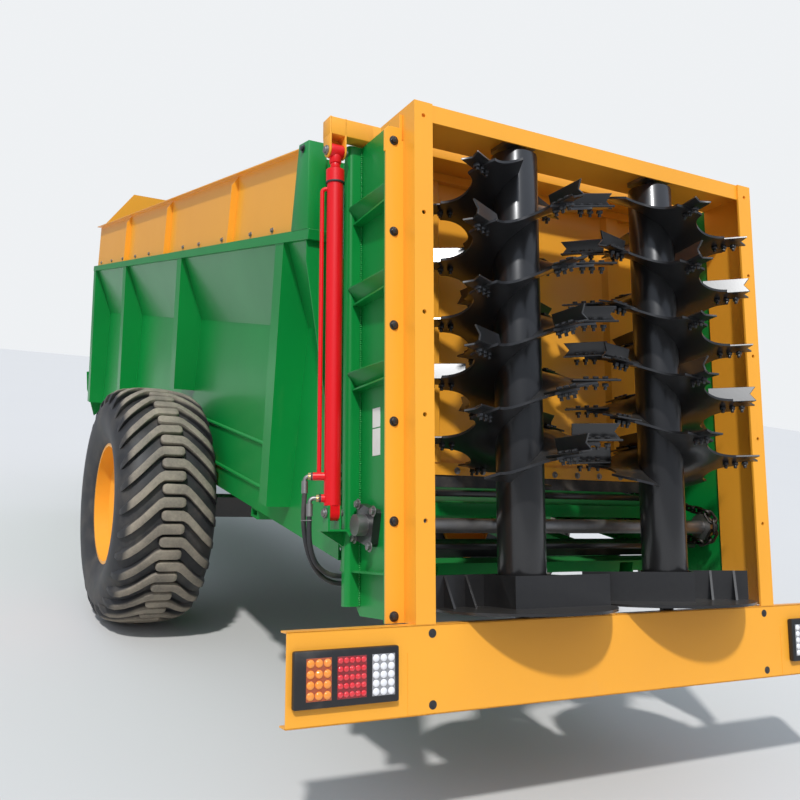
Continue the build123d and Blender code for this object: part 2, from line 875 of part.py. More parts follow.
# Door: panel with ribs, and the lifting beam with arms out to the cylinders
door_half = frame_half - door_edge_gap
with BuildPart() as door_panel:
    with BuildSketch(lean_face(door_u)):
        with Locations((0, (door_bottom + door_top) / 2)):
            Rectangle(2 * door_half, door_top - door_bottom)
    extrude(amount=door_sheet)
    rib_half = frame_half - guide_width - door_edge_gap
    with BuildSketch(lean_face(door_u)):
        with Locations((0, door_top - door_rib / 2)):
            Rectangle(2 * rib_half, door_rib)
    extrude(amount=-door_rib)
    with BuildSketch(lean_face(door_u - flap_sheet)):
        with Locations((0, door_bottom + door_strip / 2)):
            Rectangle(2 * rib_half, door_strip)
    extrude(amount=-door_sheet)
    with BuildSketch(lean_face(door_u)):
        with Locations((0, door_bottom + door_strip - door_sheet)):
            Rectangle(2 * rib_half, 2 * door_sheet)
    extrude(amount=-flap_sheet)
    for side in (-1, 1):
        fold_points = (
            (door_u, side * (door_fold_v + door_fold_width / 2)),
            (door_u - door_fold_depth, side * (door_fold_v + door_fold_width / 3)),
            (door_u - door_fold_depth, side * (door_fold_v - door_fold_width / 3)),
            (door_u, side * (door_fold_v - door_fold_width / 2)),
        )
        add(outline(lean_level(door_bottom + door_strip), fold_points, door_top - door_bottom - door_strip - door_rib))
save(door_panel.part, "door_panel")

beam_middle = ((cylinder_u - eye_r + door_u + door_sheet) / 2, door_top + door_beam_height / 2)
beam_depth = door_u + door_sheet - cylinder_u + eye_r
with BuildPart() as door_beam:
    with BuildSketch(lean_side(0)):
        with Locations(beam_middle):
            Rectangle(beam_depth, door_beam_height)
    extrude(amount=door_beam_half + 3 * side_sheet, both=True)
    with BuildSketch(lean_side(0)):
        with Locations(beam_middle):
            Rectangle(beam_depth - 2 * door_beam_sheet, door_beam_height - 2 * door_beam_sheet)
    extrude(amount=door_beam_half + 4 * side_sheet, both=True, mode=Mode.SUBTRACT)
    clevis_top = door_top + side_sheet
    for edge in (-1, 1):
        v = cylinder_v + edge * (eye_width / 2 + seat_gap + side_sheet / 2) + side_sheet / 2
        for side in (-1, 1):
            face = v if side > 0 else side_sheet - v
            with BuildSketch(lean_side(face)):
                with Locations((cylinder_u, clevis_top - door_beam_arm / 2)):
                    Rectangle(2 * eye_r, door_beam_arm)
                with Locations((cylinder_u, rod_eye_w)):
                    Circle(lug_pin_r, mode=Mode.SUBTRACT)
            extrude(amount=side_sheet)
save(door_beam.part, "door_beam")

flap_height = flap_drop + door_strip - 2 * door_sheet - seat_gap
with BuildPart() as door_flap:
    with BuildSketch(lean_face(door_u)):
        with Locations((0, door_bottom - flap_drop + flap_height / 2)):
            Rectangle(2 * rib_half, flap_height)
    extrude(amount=-flap_sheet)
save(door_flap.part, "door_flap")

# Hoses of the lift cylinders, as points of the leaning frame on the left side
hex_length = 14
ferrule_length = 40
upper_hose = (
    (379, 946, 388),
    (381, 949, 330),
    (385, 944, 262),
    (393, 925, 196),
    (405, 893, 143),
    (420, 848, 112),
    (430, 802, 99),
    (430, 760.3, 99),
)
lower_hose = (
    (362, 936, 315),
    (363, 937, 268),
    (368, 929, 215),
    (379, 908, 170),
    (393, 874, 143),
    (406, 838, 129),
    (415, 800, 124),
    (415, 760.3, 124),
)
pipe_away = (0.466, 0.885)
# Port's height, its direction from the barrel, its reach from the barrel's axis, and its hose
ports = (
    (443, pipe_away, 62, upper_hose),
    (373, (0.335, 0.942), 36, lower_hose),
)

# Lift cylinders: hollow barrels with a lug below, and rods that ride with the door
with BuildPart() as cylinder_barrels:
    for side in (-1, 1):
        foot = Plane(
            origin=lean.from_local_coords((cylinder_u, side * cylinder_v, 0)),
            x_dir=lean.x_dir,
            z_dir=lean.z_dir,
        )
        with BuildSketch(foot.offset(barrel_low)):
            Circle(barrel_r)
        extrude(amount=barrel_high - barrel_low)
        with BuildSketch(foot.offset(barrel_high - gland_length)):
            Circle(gland_r)
        extrude(amount=gland_length)
        with BuildSketch(foot.offset(barrel_low + 2 * barrel_wall)):
            Circle(barrel_r - barrel_wall)
        extrude(amount=barrel_high - barrel_low - 2 * barrel_wall - gland_length, mode=Mode.SUBTRACT)
        with BuildSketch(foot.offset(barrel_low + 2 * barrel_wall)):
            Circle(rod_r + seat_gap)
        extrude(amount=barrel_high - barrel_low, mode=Mode.SUBTRACT)
        with BuildSketch(lean_side(side * cylinder_v)):
            with Locations((cylinder_u, barrel_low - eye_r)):
                Circle(eye_r)
            with Locations((cylinder_u, barrel_low - eye_r / 2)):
                Rectangle(2 * eye_r, eye_r)
            with Locations((cylinder_u, barrel_low - eye_r)):
                Circle(lug_pin_r + seat_gap, mode=Mode.SUBTRACT)
        extrude(amount=eye_width / 2, both=True)
        for port_w, (port_u, port_v), port_reach, hose_line in ports:
            away = lean.x_dir * port_u + lean.y_dir * (side * port_v)
            port_root = foot.origin + lean.z_dir * port_w + away * (barrel_r - barrel_wall + port_bite)
            with BuildSketch(Plane(origin=port_root, x_dir=lean.z_dir, z_dir=away)):
                Circle(port_r)
            extrude(amount=port_reach - barrel_r + barrel_wall - port_bite)
        away = lean.x_dir * pipe_away[0] + lean.y_dir * (side * pipe_away[1])
        pipe_root = foot.origin + lean.z_dir * pipe_high + away * (barrel_r - barrel_wall / 2)
        pipe_bend = foot.origin + lean.z_dir * pipe_high + away * pipe_reach
        pipe_end = foot.origin + lean.z_dir * pipe_low + away * pipe_reach
        with BuildPart() as pipe:
            with BuildLine():
                FilletPolyline(pipe_root, pipe_bend, pipe_end, radius=pipe_turn)
            with BuildSketch(Plane(origin=pipe_root, z_dir=away)):
                Circle(pipe_r)
            sweep()
        add(pipe.part)
save(cylinder_barrels.part, "cylinder_barrels")

# Fittings on the ports: a hexagon, an elbow and the ferrule that holds the hose
with BuildPart() as hose_fittings:
    for side in (-1, 1):
        for port_w, (port_u, port_v), port_reach, hose_line in ports:
            away = lean.x_dir * port_u + lean.y_dir * (side * port_v)
            barrel_axis = Vector(*lean.from_local_coords((cylinder_u, side * cylinder_v, port_w)))
            face = barrel_axis + away * port_reach
            elbow_start = face + away * hex_length / 2
            hose_u, hose_v, hose_w = hose_line[0]
            hose_start = Vector(*lean.from_local_coords((hose_u, side * hose_v, hose_w)))
            elbow_end = hose_start + lean.z_dir * 2 * seat_gap
            corner = hose_start + lean.z_dir * (port_w - hose_w)
            with BuildSketch(Plane(origin=face, x_dir=lean.z_dir, z_dir=away)):
                RegularPolygon(hex_r, 6)
            extrude(amount=hex_length)
            with BuildPart() as elbow:
                with BuildLine():
                    FilletPolyline(elbow_start, corner, elbow_end, radius=pipe_turn)
                with BuildSketch(Plane(origin=elbow_start, z_dir=corner - elbow_start)):
                    Circle(fitting_r)
                sweep()
            add(elbow.part)
            with BuildSketch(Plane(origin=elbow_end, z_dir=lean.z_dir)):
                Circle(ferrule_r)
            extrude(amount=ferrule_length)
save(hose_fittings.part, "hose_fittings")


def hose(points, radius):
    """Hose along points in the leaning frame: straight runs joined by arcs as large as the runs allow."""
    route = [Vector(*lean.from_local_coords(point)) for point in points]
    turns = []
    for before, at, after in zip(route, route[1:], route[2:]):
        turn = radians((at - before).get_angle(after - at))
        turns.append(0.45 * min((at - before).length, (after - at).length) / tan(turn / 2))
    with BuildPart() as made:
        with BuildLine() as line:
            FilletPolyline(*route, radius=min(turns))
        with BuildSketch(Plane(origin=route[0], z_dir=route[1] - route[0])):
            Circle(radius)
        sweep()
    length = sum(edge.length for edge in line.edges())
    share = made.part.volume / (pi * radius**2 * length)
    print(f"hose: arcs {min(turns):.0f} mm, length {length:.0f} mm, volume share {share:.3f}")
    return made.part


for hose_name, hose_line in (("hose_upper", upper_hose), ("hose_lower", lower_hose)):
    for side_name, side in (("left", 1), ("right", -1)):
        mirrored = [(u, side * v, w) for u, v, w in hose_line]
        save(hose(mirrored, hose_r), f"{hose_name}_{side_name}")

with BuildPart() as cylinder_rods:
    for side in (-1, 1):
        foot = Plane(
            origin=lean.from_local_coords((cylinder_u, side * cylinder_v, 0)),
            x_dir=lean.x_dir,
            z_dir=lean.z_dir,
        )
        with BuildSketch(foot.offset(rod_low)):
            Circle(rod_r)
        extrude(amount=rod_eye_w - rod_low)
        with BuildSketch(lean_side(side * cylinder_v)):
            with Locations((cylinder_u, rod_eye_w)):
                Circle(eye_r)
        extrude(amount=eye_width / 2, both=True)
        with BuildSketch(lean_side(side * cylinder_v)):
            with Locations((cylinder_u, rod_eye_w)):
                Circle(lug_pin_r - seat_gap)
        extrude(amount=eye_width / 2 + seat_gap + side_sheet, both=True)
save(cylinder_rods.part, "cylinder_rods")

# Brackets that carry the cylinders' lower pins: a shelf on the corner post with two lugs
shelf_w = barrel_low - 3.4 * eye_r
lug_top = barrel_low - slide_gap
lug_out = cylinder_v + eye_width / 2 + seat_gap + side_sheet
with BuildPart() as cylinder_brackets:
    for side in (-1, 1):
        with BuildSketch(lean_level(shelf_w)):
            with Locations(((cylinder_u - lug_half + corner_post_u + corner_post_width) / 2, 0)):
                with Locations((0, side * (corner_post_out + lug_out) / 2)):
                    Rectangle(corner_post_u + corner_post_width - cylinder_u + lug_half, lug_out - corner_post_out)
        extrude(amount=side_sheet)
        for edge in (-1, 1):
            v = side * (cylinder_v + edge * (eye_width / 2 + seat_gap + side_sheet / 2))
            with BuildSketch(lean_side(v)):
                with Locations((cylinder_u, (shelf_w + lug_top) / 2)):
                    Rectangle(2 * lug_half, lug_top - shelf_w)
            extrude(amount=side_sheet / 2, both=True)
        web_points = (
            (side * corner_post_out, shelf_w),
            (side * lug_out, shelf_w),
            (side * corner_post_out, shelf_w - 2 * eye_r),
        )
        add(outline(lean_face(corner_post_u + corner_post_width / 2), web_points, side_sheet))
        with BuildSketch(lean_side(side * cylinder_v)):
            with Locations((cylinder_u, barrel_low - eye_r)):
                Circle(lug_pin_r)
        extrude(amount=eye_width / 2 + seat_gap + side_sheet, both=True)
save(cylinder_brackets.part, "cylinder_brackets")

# Corner casings at the rear ends of the side boards, open below
with BuildPart() as corner_casings:
    with BuildSketch(cross_plane(hopper_front_x)):
        with Locations((casing_out - casing_width / 2, (rail_top_z + casing_top_z) / 2)):
            Rectangle(casing_width, casing_top_z - rail_top_z)
    extrude(amount=-hopper_length - rail_top_z)
    with BuildSketch(lean_face(casing_u + casing_depth)):
        Rectangle(4 * beam_half, 4 * post_height)
    extrude(amount=2 * hopper_length, mode=Mode.SUBTRACT)
    add(rear_cut(casing_u), mode=Mode.SUBTRACT)
    mirror(about=Plane.XZ)
save(corner_casings.part, "corner_casings")

# Chassis: two long rails and cross members, with the drawbar's beams running on to the eye
chassis_front_x = hopper_front_x + front_rib_depth
member_spans = (
    (chassis_rail_width / 2 - chassis_rail_half, chassis_rail_half - chassis_rail_width / 2),
    (chassis_rail_half + chassis_rail_width / 2, inner_half),
    (-inner_half, -chassis_rail_half - chassis_rail_width / 2),
)
with BuildPart() as chassis:
    with BuildSketch(cross_plane(chassis_rear_x)):
        for side in (-1, 1):
            with Locations((side * chassis_rail_half, sill_z - chassis_rail_height / 2)):
                Rectangle(chassis_rail_width, chassis_rail_height)
                Rectangle(
                    chassis_rail_width - 2 * chassis_wall,
                    chassis_rail_height - 2 * chassis_wall,
                    mode=Mode.SUBTRACT,
                )
    extrude(amount=chassis_front_x - chassis_rear_x)
    for index in range(bearers):
        member_x = chassis_rear_x + cross_member_width / 2 + (
            hopper_front_x - chassis_rear_x - cross_member_width
        ) * index / (bearers - 1)
        for span_low, span_high in member_spans:
            span_low = max(span_low, -frame_half) if index == 0 else span_low
            span_high = min(span_high, frame_half) if index == 0 else span_high
            with BuildSketch(side_plane(span_high)):
                with Locations((member_x, sill_z - cross_member_width / 4)):
                    Rectangle(cross_member_width, cross_member_width / 2)
                    Rectangle(
                        cross_member_width - 2 * chassis_wall,
                        cross_member_width / 2 - 2 * chassis_wall,
                        mode=Mode.SUBTRACT,
                    )
            extrude(amount=span_high - span_low)
save(chassis.part, "chassis")



def drawbar_y(x):
    """Distance of a drawbar beam's centre line from the middle at world x."""
    share = (x - chassis_front_x) / (drawbar_tip_x - chassis_front_x)
    return chassis_rail_half + share * (drawbar_width * 5 / 8 - chassis_rail_half)


beam_y_at_jack = drawbar_y(jack_x)
beam_y_at_input = drawbar_y(input_x - input_block_depth)
with BuildPart() as drawbar:
    for side in (-1, 1):
        with BuildSketch(Plane.XY.offset(sill_z - chassis_rail_height)):
            with BuildLine():
                Polyline(
                    (chassis_front_x, side * (chassis_rail_half + drawbar_width / 2)),
                    (chassis_front_x, side * (chassis_rail_half - drawbar_width / 2)),
                    (drawbar_tip_x, side * drawbar_width / 8),
                    (drawbar_tip_x, side * drawbar_width * 9 / 8),
                    close=True,
                )
            make_face()
        extrude(amount=chassis_rail_height)
        with BuildSketch(Plane.XY.offset(sill_z - chassis_rail_height + chassis_wall)):
            with BuildLine():
                Polyline(
                    (chassis_front_x, side * (chassis_rail_half + drawbar_width / 2 - chassis_wall)),
                    (chassis_front_x, side * (chassis_rail_half - drawbar_width / 2 + chassis_wall)),
                    (drawbar_tip_x - drawbar_width, side * (drawbar_width * 3 / 8 - 2 * chassis_wall)),
                    (drawbar_tip_x - drawbar_width, side * (drawbar_width * 9 / 8 - chassis_wall)),
                    close=True,
                )
            make_face()
        extrude(amount=chassis_rail_height - 2 * chassis_wall, mode=Mode.SUBTRACT)
    with BuildSketch(Plane.XY.offset(sill_z - chassis_rail_height)):
        with Locations((drawbar_tip_x - drawbar_width / 2, 0)):
            Rectangle(drawbar_width, 2 * drawbar_width)
        with Locations((jack_x, (beam_y_at_jack + jack_y - jack_sleeve / 2) / 2)):
            Rectangle(drawbar_width, jack_y - jack_sleeve / 2 - beam_y_at_jack)
    extrude(amount=chassis_rail_height)
    with BuildSketch(Plane.XY.offset(sill_z)):
        with Locations((input_x - input_block_depth, 0)):
            Rectangle(1.5 * input_block_depth, 2 * beam_y_at_input + drawbar_width / 2)
    extrude(amount=input_plate)
save(drawbar.part, "drawbar")

# Pillow block on the drawbar's top plate for the driveline's input end
with BuildPart() as input_bearing_block:
    with BuildSketch(cross_plane(input_x - input_block_depth / 2)):
        with Locations((0, (sill_z + input_plate + input_z) / 2)):
            Rectangle(input_block_width, input_z - sill_z - input_plate)
        with Locations((0, input_z)):
            Circle(input_block_width / 2)
            Circle(driveline_r + seat_gap, mode=Mode.SUBTRACT)
    extrude(amount=-input_block_depth)
save(input_bearing_block.part, "input_bearing")

with BuildPart() as towing_eye:
    with BuildSketch(Plane.XY.offset(drawbar_z - eye_thickness / 2)):
        with Locations((eye_x, 0)):
            Circle(eye_ring_r)
        with Locations(((drawbar_tip_x + eye_x) / 2, 0)):
            Rectangle(eye_x - drawbar_tip_x, eye_ring_r)
        with Locations((eye_x, 0)):
            Circle(eye_bore_r, mode=Mode.SUBTRACT)
    extrude(amount=eye_thickness)
    with BuildSketch(cross_plane(drawbar_tip_x)):
        with Locations((0, drawbar_z)):
            Rectangle(2 * drawbar_width, chassis_rail_height)
    extrude(amount=2 * post_sheet)
save(towing_eye.part, "towing_eye")

# Jack: square sleeve on the drawbar's cross beam, and a leg that slides in it
with BuildPart() as jack_sleeve_tube:
    with BuildSketch(Plane.XY.offset(rail_bottom_z - jack_sleeve)):
        with Locations((jack_x, jack_y)):
            Rectangle(jack_sleeve, jack_sleeve)
            Rectangle(jack_sleeve - 2 * jack_wall, jack_sleeve - 2 * jack_wall, mode=Mode.SUBTRACT)
    extrude(amount=jack_sleeve_length)
save(jack_sleeve_tube.part, "jack_sleeve")

leg_side = jack_sleeve - 2 * jack_wall - 2 * slide_gap
with BuildPart() as jack_leg:
    with BuildSketch(Plane.XY):
        with Locations((jack_x, jack_y)):
            Rectangle(jack_foot, jack_foot)
    extrude(amount=jack_foot_sheet)
    with BuildSketch(Plane.XY.offset(jack_foot_sheet)):
        with Locations((jack_x, jack_y)):
            Rectangle(leg_side, leg_side)
            Rectangle(leg_side - 2 * jack_wall, leg_side - 2 * jack_wall, mode=Mode.SUBTRACT)
    extrude(amount=rail_bottom_z - jack_foot_sheet)
save(jack_leg.part, "jack_leg")

# Axle: square beam under the rails with a round stub at each end
with BuildPart() as axle:
    with BuildSketch(side_plane(0)):
        with Locations((axle_x, axle_z)):
            Rectangle(axle_side, axle_side)
    extrude(amount=axle_half, both=True)
    with BuildSketch(side_plane(0)):
        with Locations((axle_x, axle_z)):
            Circle(stub_axle_r)
    extrude(amount=hub_end_y - hub_cap_depth, both=True)
    for side in (-1, 1):
        with BuildSketch(Plane.XY.offset(axle_z + axle_side / 2)):
            with Locations((axle_x, side * chassis_rail_half)):
                Rectangle(axle_side * 1.6, chassis_rail_width)
        extrude(amount=rail_bottom_z - axle_z - axle_side / 2)
save(axle.part, "axle")

# Wheels: tyre, dished rim and hub
wheel_left = Plane(origin=(axle_x, 0, axle_z), x_dir=(1, 0, 0), z_dir=(0, 1, 0))
tyre_in = tyre_centre_y - tyre_width / 2
tyre_out = tyre_centre_y + tyre_width / 2
bead = tread_corner
wheel_section = Plane(origin=(axle_x, 0, axle_z), x_dir=(0, 1, 0), z_dir=(1, 0, 0))
tyre_skin = (
    (bead, rim_r),
    (bead, rim_flange_r + seat_gap),
    (bead * 0.4, rim_flange_r + 20),
    (0, (rim_flange_r + tyre_r) / 2),
    (bead * 0.3, tyre_r - tread_corner - lug_height / 2),
    (tread_corner, tyre_r - lug_height),
)
tyre_bore = (
    (tread_corner + tyre_tread, tyre_r - tyre_tread),
    (tyre_wall + bead * 0.3, tyre_r - tread_corner - tyre_wall),
    (tyre_wall, (rim_flange_r + tyre_r) / 2),
    (bead + tyre_wall, rim_flange_r + 10),
    (bead + tyre_wall, rim_r),
)
half_section = [(tyre_in + y, r) for y, r in tyre_skin], [(tyre_in + y, r) for y, r in tyre_bore]
with BuildPart() as tyre:
    with BuildSketch(wheel_section):
        with BuildLine():
            Polyline(
                *half_section[0],
                *[(2 * tyre_centre_y - y, r) for y, r in reversed(half_section[0])],
                *[(2 * tyre_centre_y - y, r) for y, r in reversed(half_section[1])],
                *half_section[1],
                close=True,
            )
        make_face()
    revolve(axis=Axis((axle_x, 0, axle_z), (0, 1, 0)))

# Lugs: one bar on the crown that sweeps back to the shoulder, cut to the tyre's outer shape, then copied round
tread_half = tyre_width / 2
with BuildPart() as lug:
    with BuildSketch(cross_plane(axle_x + tyre_r - 3 * lug_height)):
        with BuildLine():
            Polyline(
                (tyre_centre_y - lug_bar, axle_z - lug_bar / 2),
                (tyre_centre_y + tread_half * 0.3, axle_z - lug_bar / 2),
                (tyre_centre_y + tread_half, axle_z - lug_bar / 2 + lug_sweep),
                (tyre_centre_y + tread_half, axle_z + lug_bar / 2 + lug_sweep + 8),
                (tyre_centre_y + tread_half * 0.2, axle_z + lug_bar / 2),
                (tyre_centre_y - lug_bar, axle_z + lug_bar / 2),
                close=True,
            )
        make_face()
    extrude(amount=4 * lug_height)
    with BuildSketch(wheel_section):
        with BuildLine():
            Polyline(
                (tyre_in + bead * 0.3 - 4, tyre_r - tread_corner - lug_height),
                (tyre_in + bead * 0.3 - 4, tyre_r - tread_corner),
                (tyre_in + tread_corner, tyre_r - 4),
                (tyre_centre_y, tyre_r),
                (tyre_out - tread_corner, tyre_r - 4),
                (tyre_out - bead * 0.3 + 4, tyre_r - tread_corner),
                (tyre_out - bead * 0.3 + 4, tyre_r - tread_corner - lug_height),
                close=True,
            )
        make_face()
    revolve(axis=Axis((axle_x, 0, axle_z), (0, 1, 0)), revolution_arc=360, mode=Mode.INTERSECT)
wheel_axis = Axis((axle_x, 0, axle_z), (0, 1, 0))
lug_step = 360 / lug_count
far_lug = mirror(lug.part, about=Plane.XZ.offset(-tyre_centre_y))
lugs = [lug.part.rotate(wheel_axis, index * lug_step) for index in range(lug_count)]
lugs += [far_lug.rotate(wheel_axis, (index + 0.5) * lug_step) for index in range(lug_count)]
tyre_left = tyre.part.fuse(*lugs)
save(tyre_left, "tyre_left")
save(mirror(tyre_left, about=Plane.XZ), "tyre_right")

rim_edge = tyre_out - bead + seat_gap
rim_line = (
    (tyre_in + bead - seat_gap, rim_flange_r),
    (tyre_in + bead - seat_gap, rim_r - seat_gap),
    (rim_edge, rim_r - seat_gap),
    (rim_edge, rim_flange_r),
)
with BuildPart() as rim:
    with BuildSketch(wheel_section):
        with BuildLine():
            Polyline(*folded(rim_line, -rim_sheet), close=True)
        make_face()
        with BuildLine():
            Polyline(
                (rim_edge - disc_inset, rim_r - rim_sheet),
                (rim_edge - disc_inset - rim_sheet, rim_r - rim_sheet),
                (disc_face_y - rim_sheet, hub_r + 80),
                (disc_face_y - rim_sheet, hub_cap_r + seat_gap),
                (disc_face_y, hub_cap_r + seat_gap),
                (disc_face_y, hub_r + 80),
                close=True,
            )
        make_face()
    revolve(axis=Axis((axle_x, 0, axle_z), (0, 1, 0)))
save(rim.part, "rim_left")
save(mirror(rim.part, about=Plane.XZ), "rim_right")

with BuildPart() as hub:
    with BuildSketch(wheel_left.offset(disc_face_y - rim_sheet)):
        Circle(hub_r + 70)
    extrude(amount=-2 * rim_sheet)
    with BuildSketch(wheel_left.offset(disc_face_y - rim_sheet)):
        Circle(hub_r)
    extrude(amount=-hub_length)
    with BuildSketch(wheel_left.offset(disc_face_y - rim_sheet)):
        Circle(hub_cap_r)
    extrude(amount=hub_end_y - disc_face_y + rim_sheet)
    with BuildSketch(wheel_left.offset(disc_face_y - rim_sheet - hub_length)):
        Circle(stub_axle_r + seat_gap)
    extrude(amount=hub_length + hub_end_y - disc_face_y + rim_sheet - hub_cap_depth + seat_gap, mode=Mode.SUBTRACT)
save(hub.part, "hub_left")
save(mirror(hub.part, about=Plane.XZ), "hub_right")

# Conveyor: two chains with slats in one closed loop, and the two shafts they run on
with BuildPart() as conveyor_chains:
    for side in (-1, 1):
        with BuildSketch(side_plane(side * chain_half)):
            with Locations(loop_middle):
                SlotCenterToCenter(conveyor_run, 2 * sprocket_r + chain_height)
                SlotCenterToCenter(conveyor_run, 2 * sprocket_r - chain_height, mode=Mode.SUBTRACT)
        extrude(amount=chain_width / 2, both=True)
    slat_rise = sprocket_r + chain_height / 2 + slat_height / 2
    for first, level in ((slat_first_top, conveyor_z + slat_rise), (slat_first_low, conveyor_z - slat_rise)):
        with BuildSketch(side_plane(0)):
            for step in range(ceil((conveyor_run - first) / slat_pitch)):
                with Locations((conveyor_rear_x + first + step * slat_pitch, level)):
                    Rectangle(slat_width, slat_height)
        extrude(amount=chain_half, both=True)
save(conveyor_chains.part, "conveyor_chains")

# Shaft ends: name, place, reach to the left and right
for shaft_name, shaft_x, shaft_half in (
    ("conveyor_rear_shaft", conveyor_rear_x, plate_out + bearing_height),
    ("conveyor_front_shaft", conveyor_front_x, inner_half - seat_gap),
):
    with BuildPart() as conveyor_shaft:
        with BuildSketch(side_plane(0)):
            with Locations((shaft_x, conveyor_z)):
                Circle(conveyor_shaft_r)
        extrude(amount=shaft_half, both=True)
        if shaft_x == conveyor_rear_x:
            with BuildSketch(side_plane(shaft_half + collar_length)):
                with Locations((shaft_x, conveyor_z)):
                    Circle(collar_r)
            extrude(amount=collar_length)
        for side in (-1, 1):
            with BuildSketch(side_plane(side * chain_half)):
                with Locations((shaft_x, conveyor_z)):
                    Circle(sprocket_r - chain_height / 2 - seat_gap)
            extrude(amount=chain_width / 3, both=True)
    save(conveyor_shaft.part, shaft_name)

with BuildPart() as conveyor_bearings:
    for side in (-1, 1):
        face = plate_out if side > 0 else -plate_out - bearing_height
        with BuildSketch(side_plane(face)):
            with Locations((conveyor_rear_x, conveyor_z)):
                RectangleRounded(bearing_side, bearing_side, 16)
                Circle(conveyor_shaft_r + seat_gap, mode=Mode.SUBTRACT)
        extrude(amount=-bearing_height)
save(conveyor_bearings.part, "conveyor_bearings")

# Oil motor on the right end of the rear shaft
motor_start = plate_out + bearing_height + seat_gap
with BuildPart() as conveyor_motor:
    with BuildSketch(side_plane(-motor_start)):
        with Locations((conveyor_rear_x, conveyor_z)):
            Circle(motor_r)
    extrude(amount=motor_length)
    with BuildSketch(side_plane(-motor_start)):
        with Locations((conveyor_rear_x, conveyor_z)):
            Rectangle(motor_flange_side, motor_flange_side)
    extrude(amount=motor_flange)
save(conveyor_motor.part, "conveyor_motor")

# Bracket at the front left corner, with a control valve
bracket_x = hopper_front_x + front_rib_depth
with BuildPart() as valve_bracket:
    bracket_points = (
        (700, front_low_z + rib_width),
        (880, front_low_z + 40),
        (866, 900),
        (800, 700),
        (750, 740),
        (716, 900),
    )
    add(outline(cross_plane(bracket_x), bracket_points, side_sheet))
    with BuildSketch(Plane.XY.offset(valve_z - valve_height / 2 - side_sheet)):
        with Locations((bracket_x + valve_depth / 2 + side_sheet / 2, valve_y)):
            Rectangle(valve_depth + side_sheet, valve_width)
    extrude(amount=side_sheet)
save(valve_bracket.part, "valve_bracket")

with BuildPart() as valve_block:
    with BuildSketch(Plane.XY.offset(valve_z - valve_height / 2)):
        with Locations((bracket_x + side_sheet + valve_depth / 2, valve_y)):
            Rectangle(valve_depth, valve_width)
    extrude(amount=valve_height)
    with BuildSketch(Plane.XY.offset(valve_z + valve_height / 2)):
        for shift in (-1, 1):
            with Locations((bracket_x + side_sheet + valve_depth / 2, valve_y + shift * valve_width / 4)):
                Circle(hex_r)
    extrude(amount=2 * hex_r)
save(valve_block.part, "valve_block")

# Driveline: level under the floor, with sloping ends to the input and to the centre gearbox
gear_joint_u = rotor_u + gearbox_side / 2 + gear_stub_length + driveline_joint_r + seat_gap
gear_joint = lean.from_local_coords((gear_joint_u, 0, gear_axis_w))
shaft_rear_x = axle_x - 3 * axle_side
shaft_front_x = hopper_front_x + front_rib_depth
input_rear_x = input_x - 2 * input_block_depth
shaft_joints = (
    (gear_joint.X, gear_joint.Z),
    (shaft_rear_x, driveline_z),
    (shaft_front_x, driveline_z),
    (input_rear_x, input_z),
)
with BuildPart() as driveline:
    for (start_x, start_z), (end_x, end_z) in zip(shaft_joints, shaft_joints[1:]):
        with BuildSketch(Plane(origin=(start_x, 0, start_z), z_dir=(end_x - start_x, 0, end_z - start_z))):
            Circle(driveline_r)
        extrude(amount=hypot(end_x - start_x, end_z - start_z))
    for joint_x, joint_z in shaft_joints:
        with Locations((joint_x, 0, joint_z)):
            Sphere(driveline_joint_r)
    with BuildSketch(cross_plane(input_rear_x)):
        with Locations((0, input_z)):
            Circle(driveline_r)
    extrude(amount=input_x - input_rear_x)
    with BuildSketch(cross_plane(input_x)):
        with Locations((0, input_z)):
            Circle(input_stub_r)
    extrude(amount=input_stub_length)
save(driveline.part, "driveline")
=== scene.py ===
"""Looks of the towed fertilizer spreader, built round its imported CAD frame.

Metres. +X points forward to the towing eye, +Y to the machine's left and +Z up from the ground.
The rear end leans forward, so its pieces are placed in a leaning frame: u forward, v left and w up along
the lean.
"""

import json
import logging
import math
from dataclasses import dataclass
from enum import Enum
from typing import Iterable, Sequence

import bpy
from mathutils import Matrix, Vector

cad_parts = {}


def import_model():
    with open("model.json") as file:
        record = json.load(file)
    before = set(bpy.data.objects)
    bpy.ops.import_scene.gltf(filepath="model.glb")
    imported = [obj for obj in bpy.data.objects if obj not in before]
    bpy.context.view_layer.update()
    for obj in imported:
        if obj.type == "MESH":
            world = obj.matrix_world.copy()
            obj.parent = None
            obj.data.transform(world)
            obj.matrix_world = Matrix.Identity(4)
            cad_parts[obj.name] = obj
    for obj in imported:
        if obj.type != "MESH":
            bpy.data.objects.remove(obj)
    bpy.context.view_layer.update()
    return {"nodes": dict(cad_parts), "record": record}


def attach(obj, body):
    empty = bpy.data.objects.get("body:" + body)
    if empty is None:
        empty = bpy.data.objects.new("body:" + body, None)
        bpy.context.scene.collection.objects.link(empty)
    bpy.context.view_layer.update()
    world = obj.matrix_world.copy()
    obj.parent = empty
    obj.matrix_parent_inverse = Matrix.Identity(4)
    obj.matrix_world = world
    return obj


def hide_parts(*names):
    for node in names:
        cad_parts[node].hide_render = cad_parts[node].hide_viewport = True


LOG = logging.getLogger("spreader")
PHOTO_SIDE = 800
SENSOR = 36.0
SIDES = (1, -1)
SIDE_WORDS = ((1, "left"), (-1, "right"))
HUB = (-1.045, 0.57)
TYRE_Y = 1.02
CONVEYOR_SHAFT = (-2.9761, 0.893)
EDGE_LIMIT = 0.6
MERGE_DISTANCE = 0.00002

Point = Sequence[float]


# Shader graphs


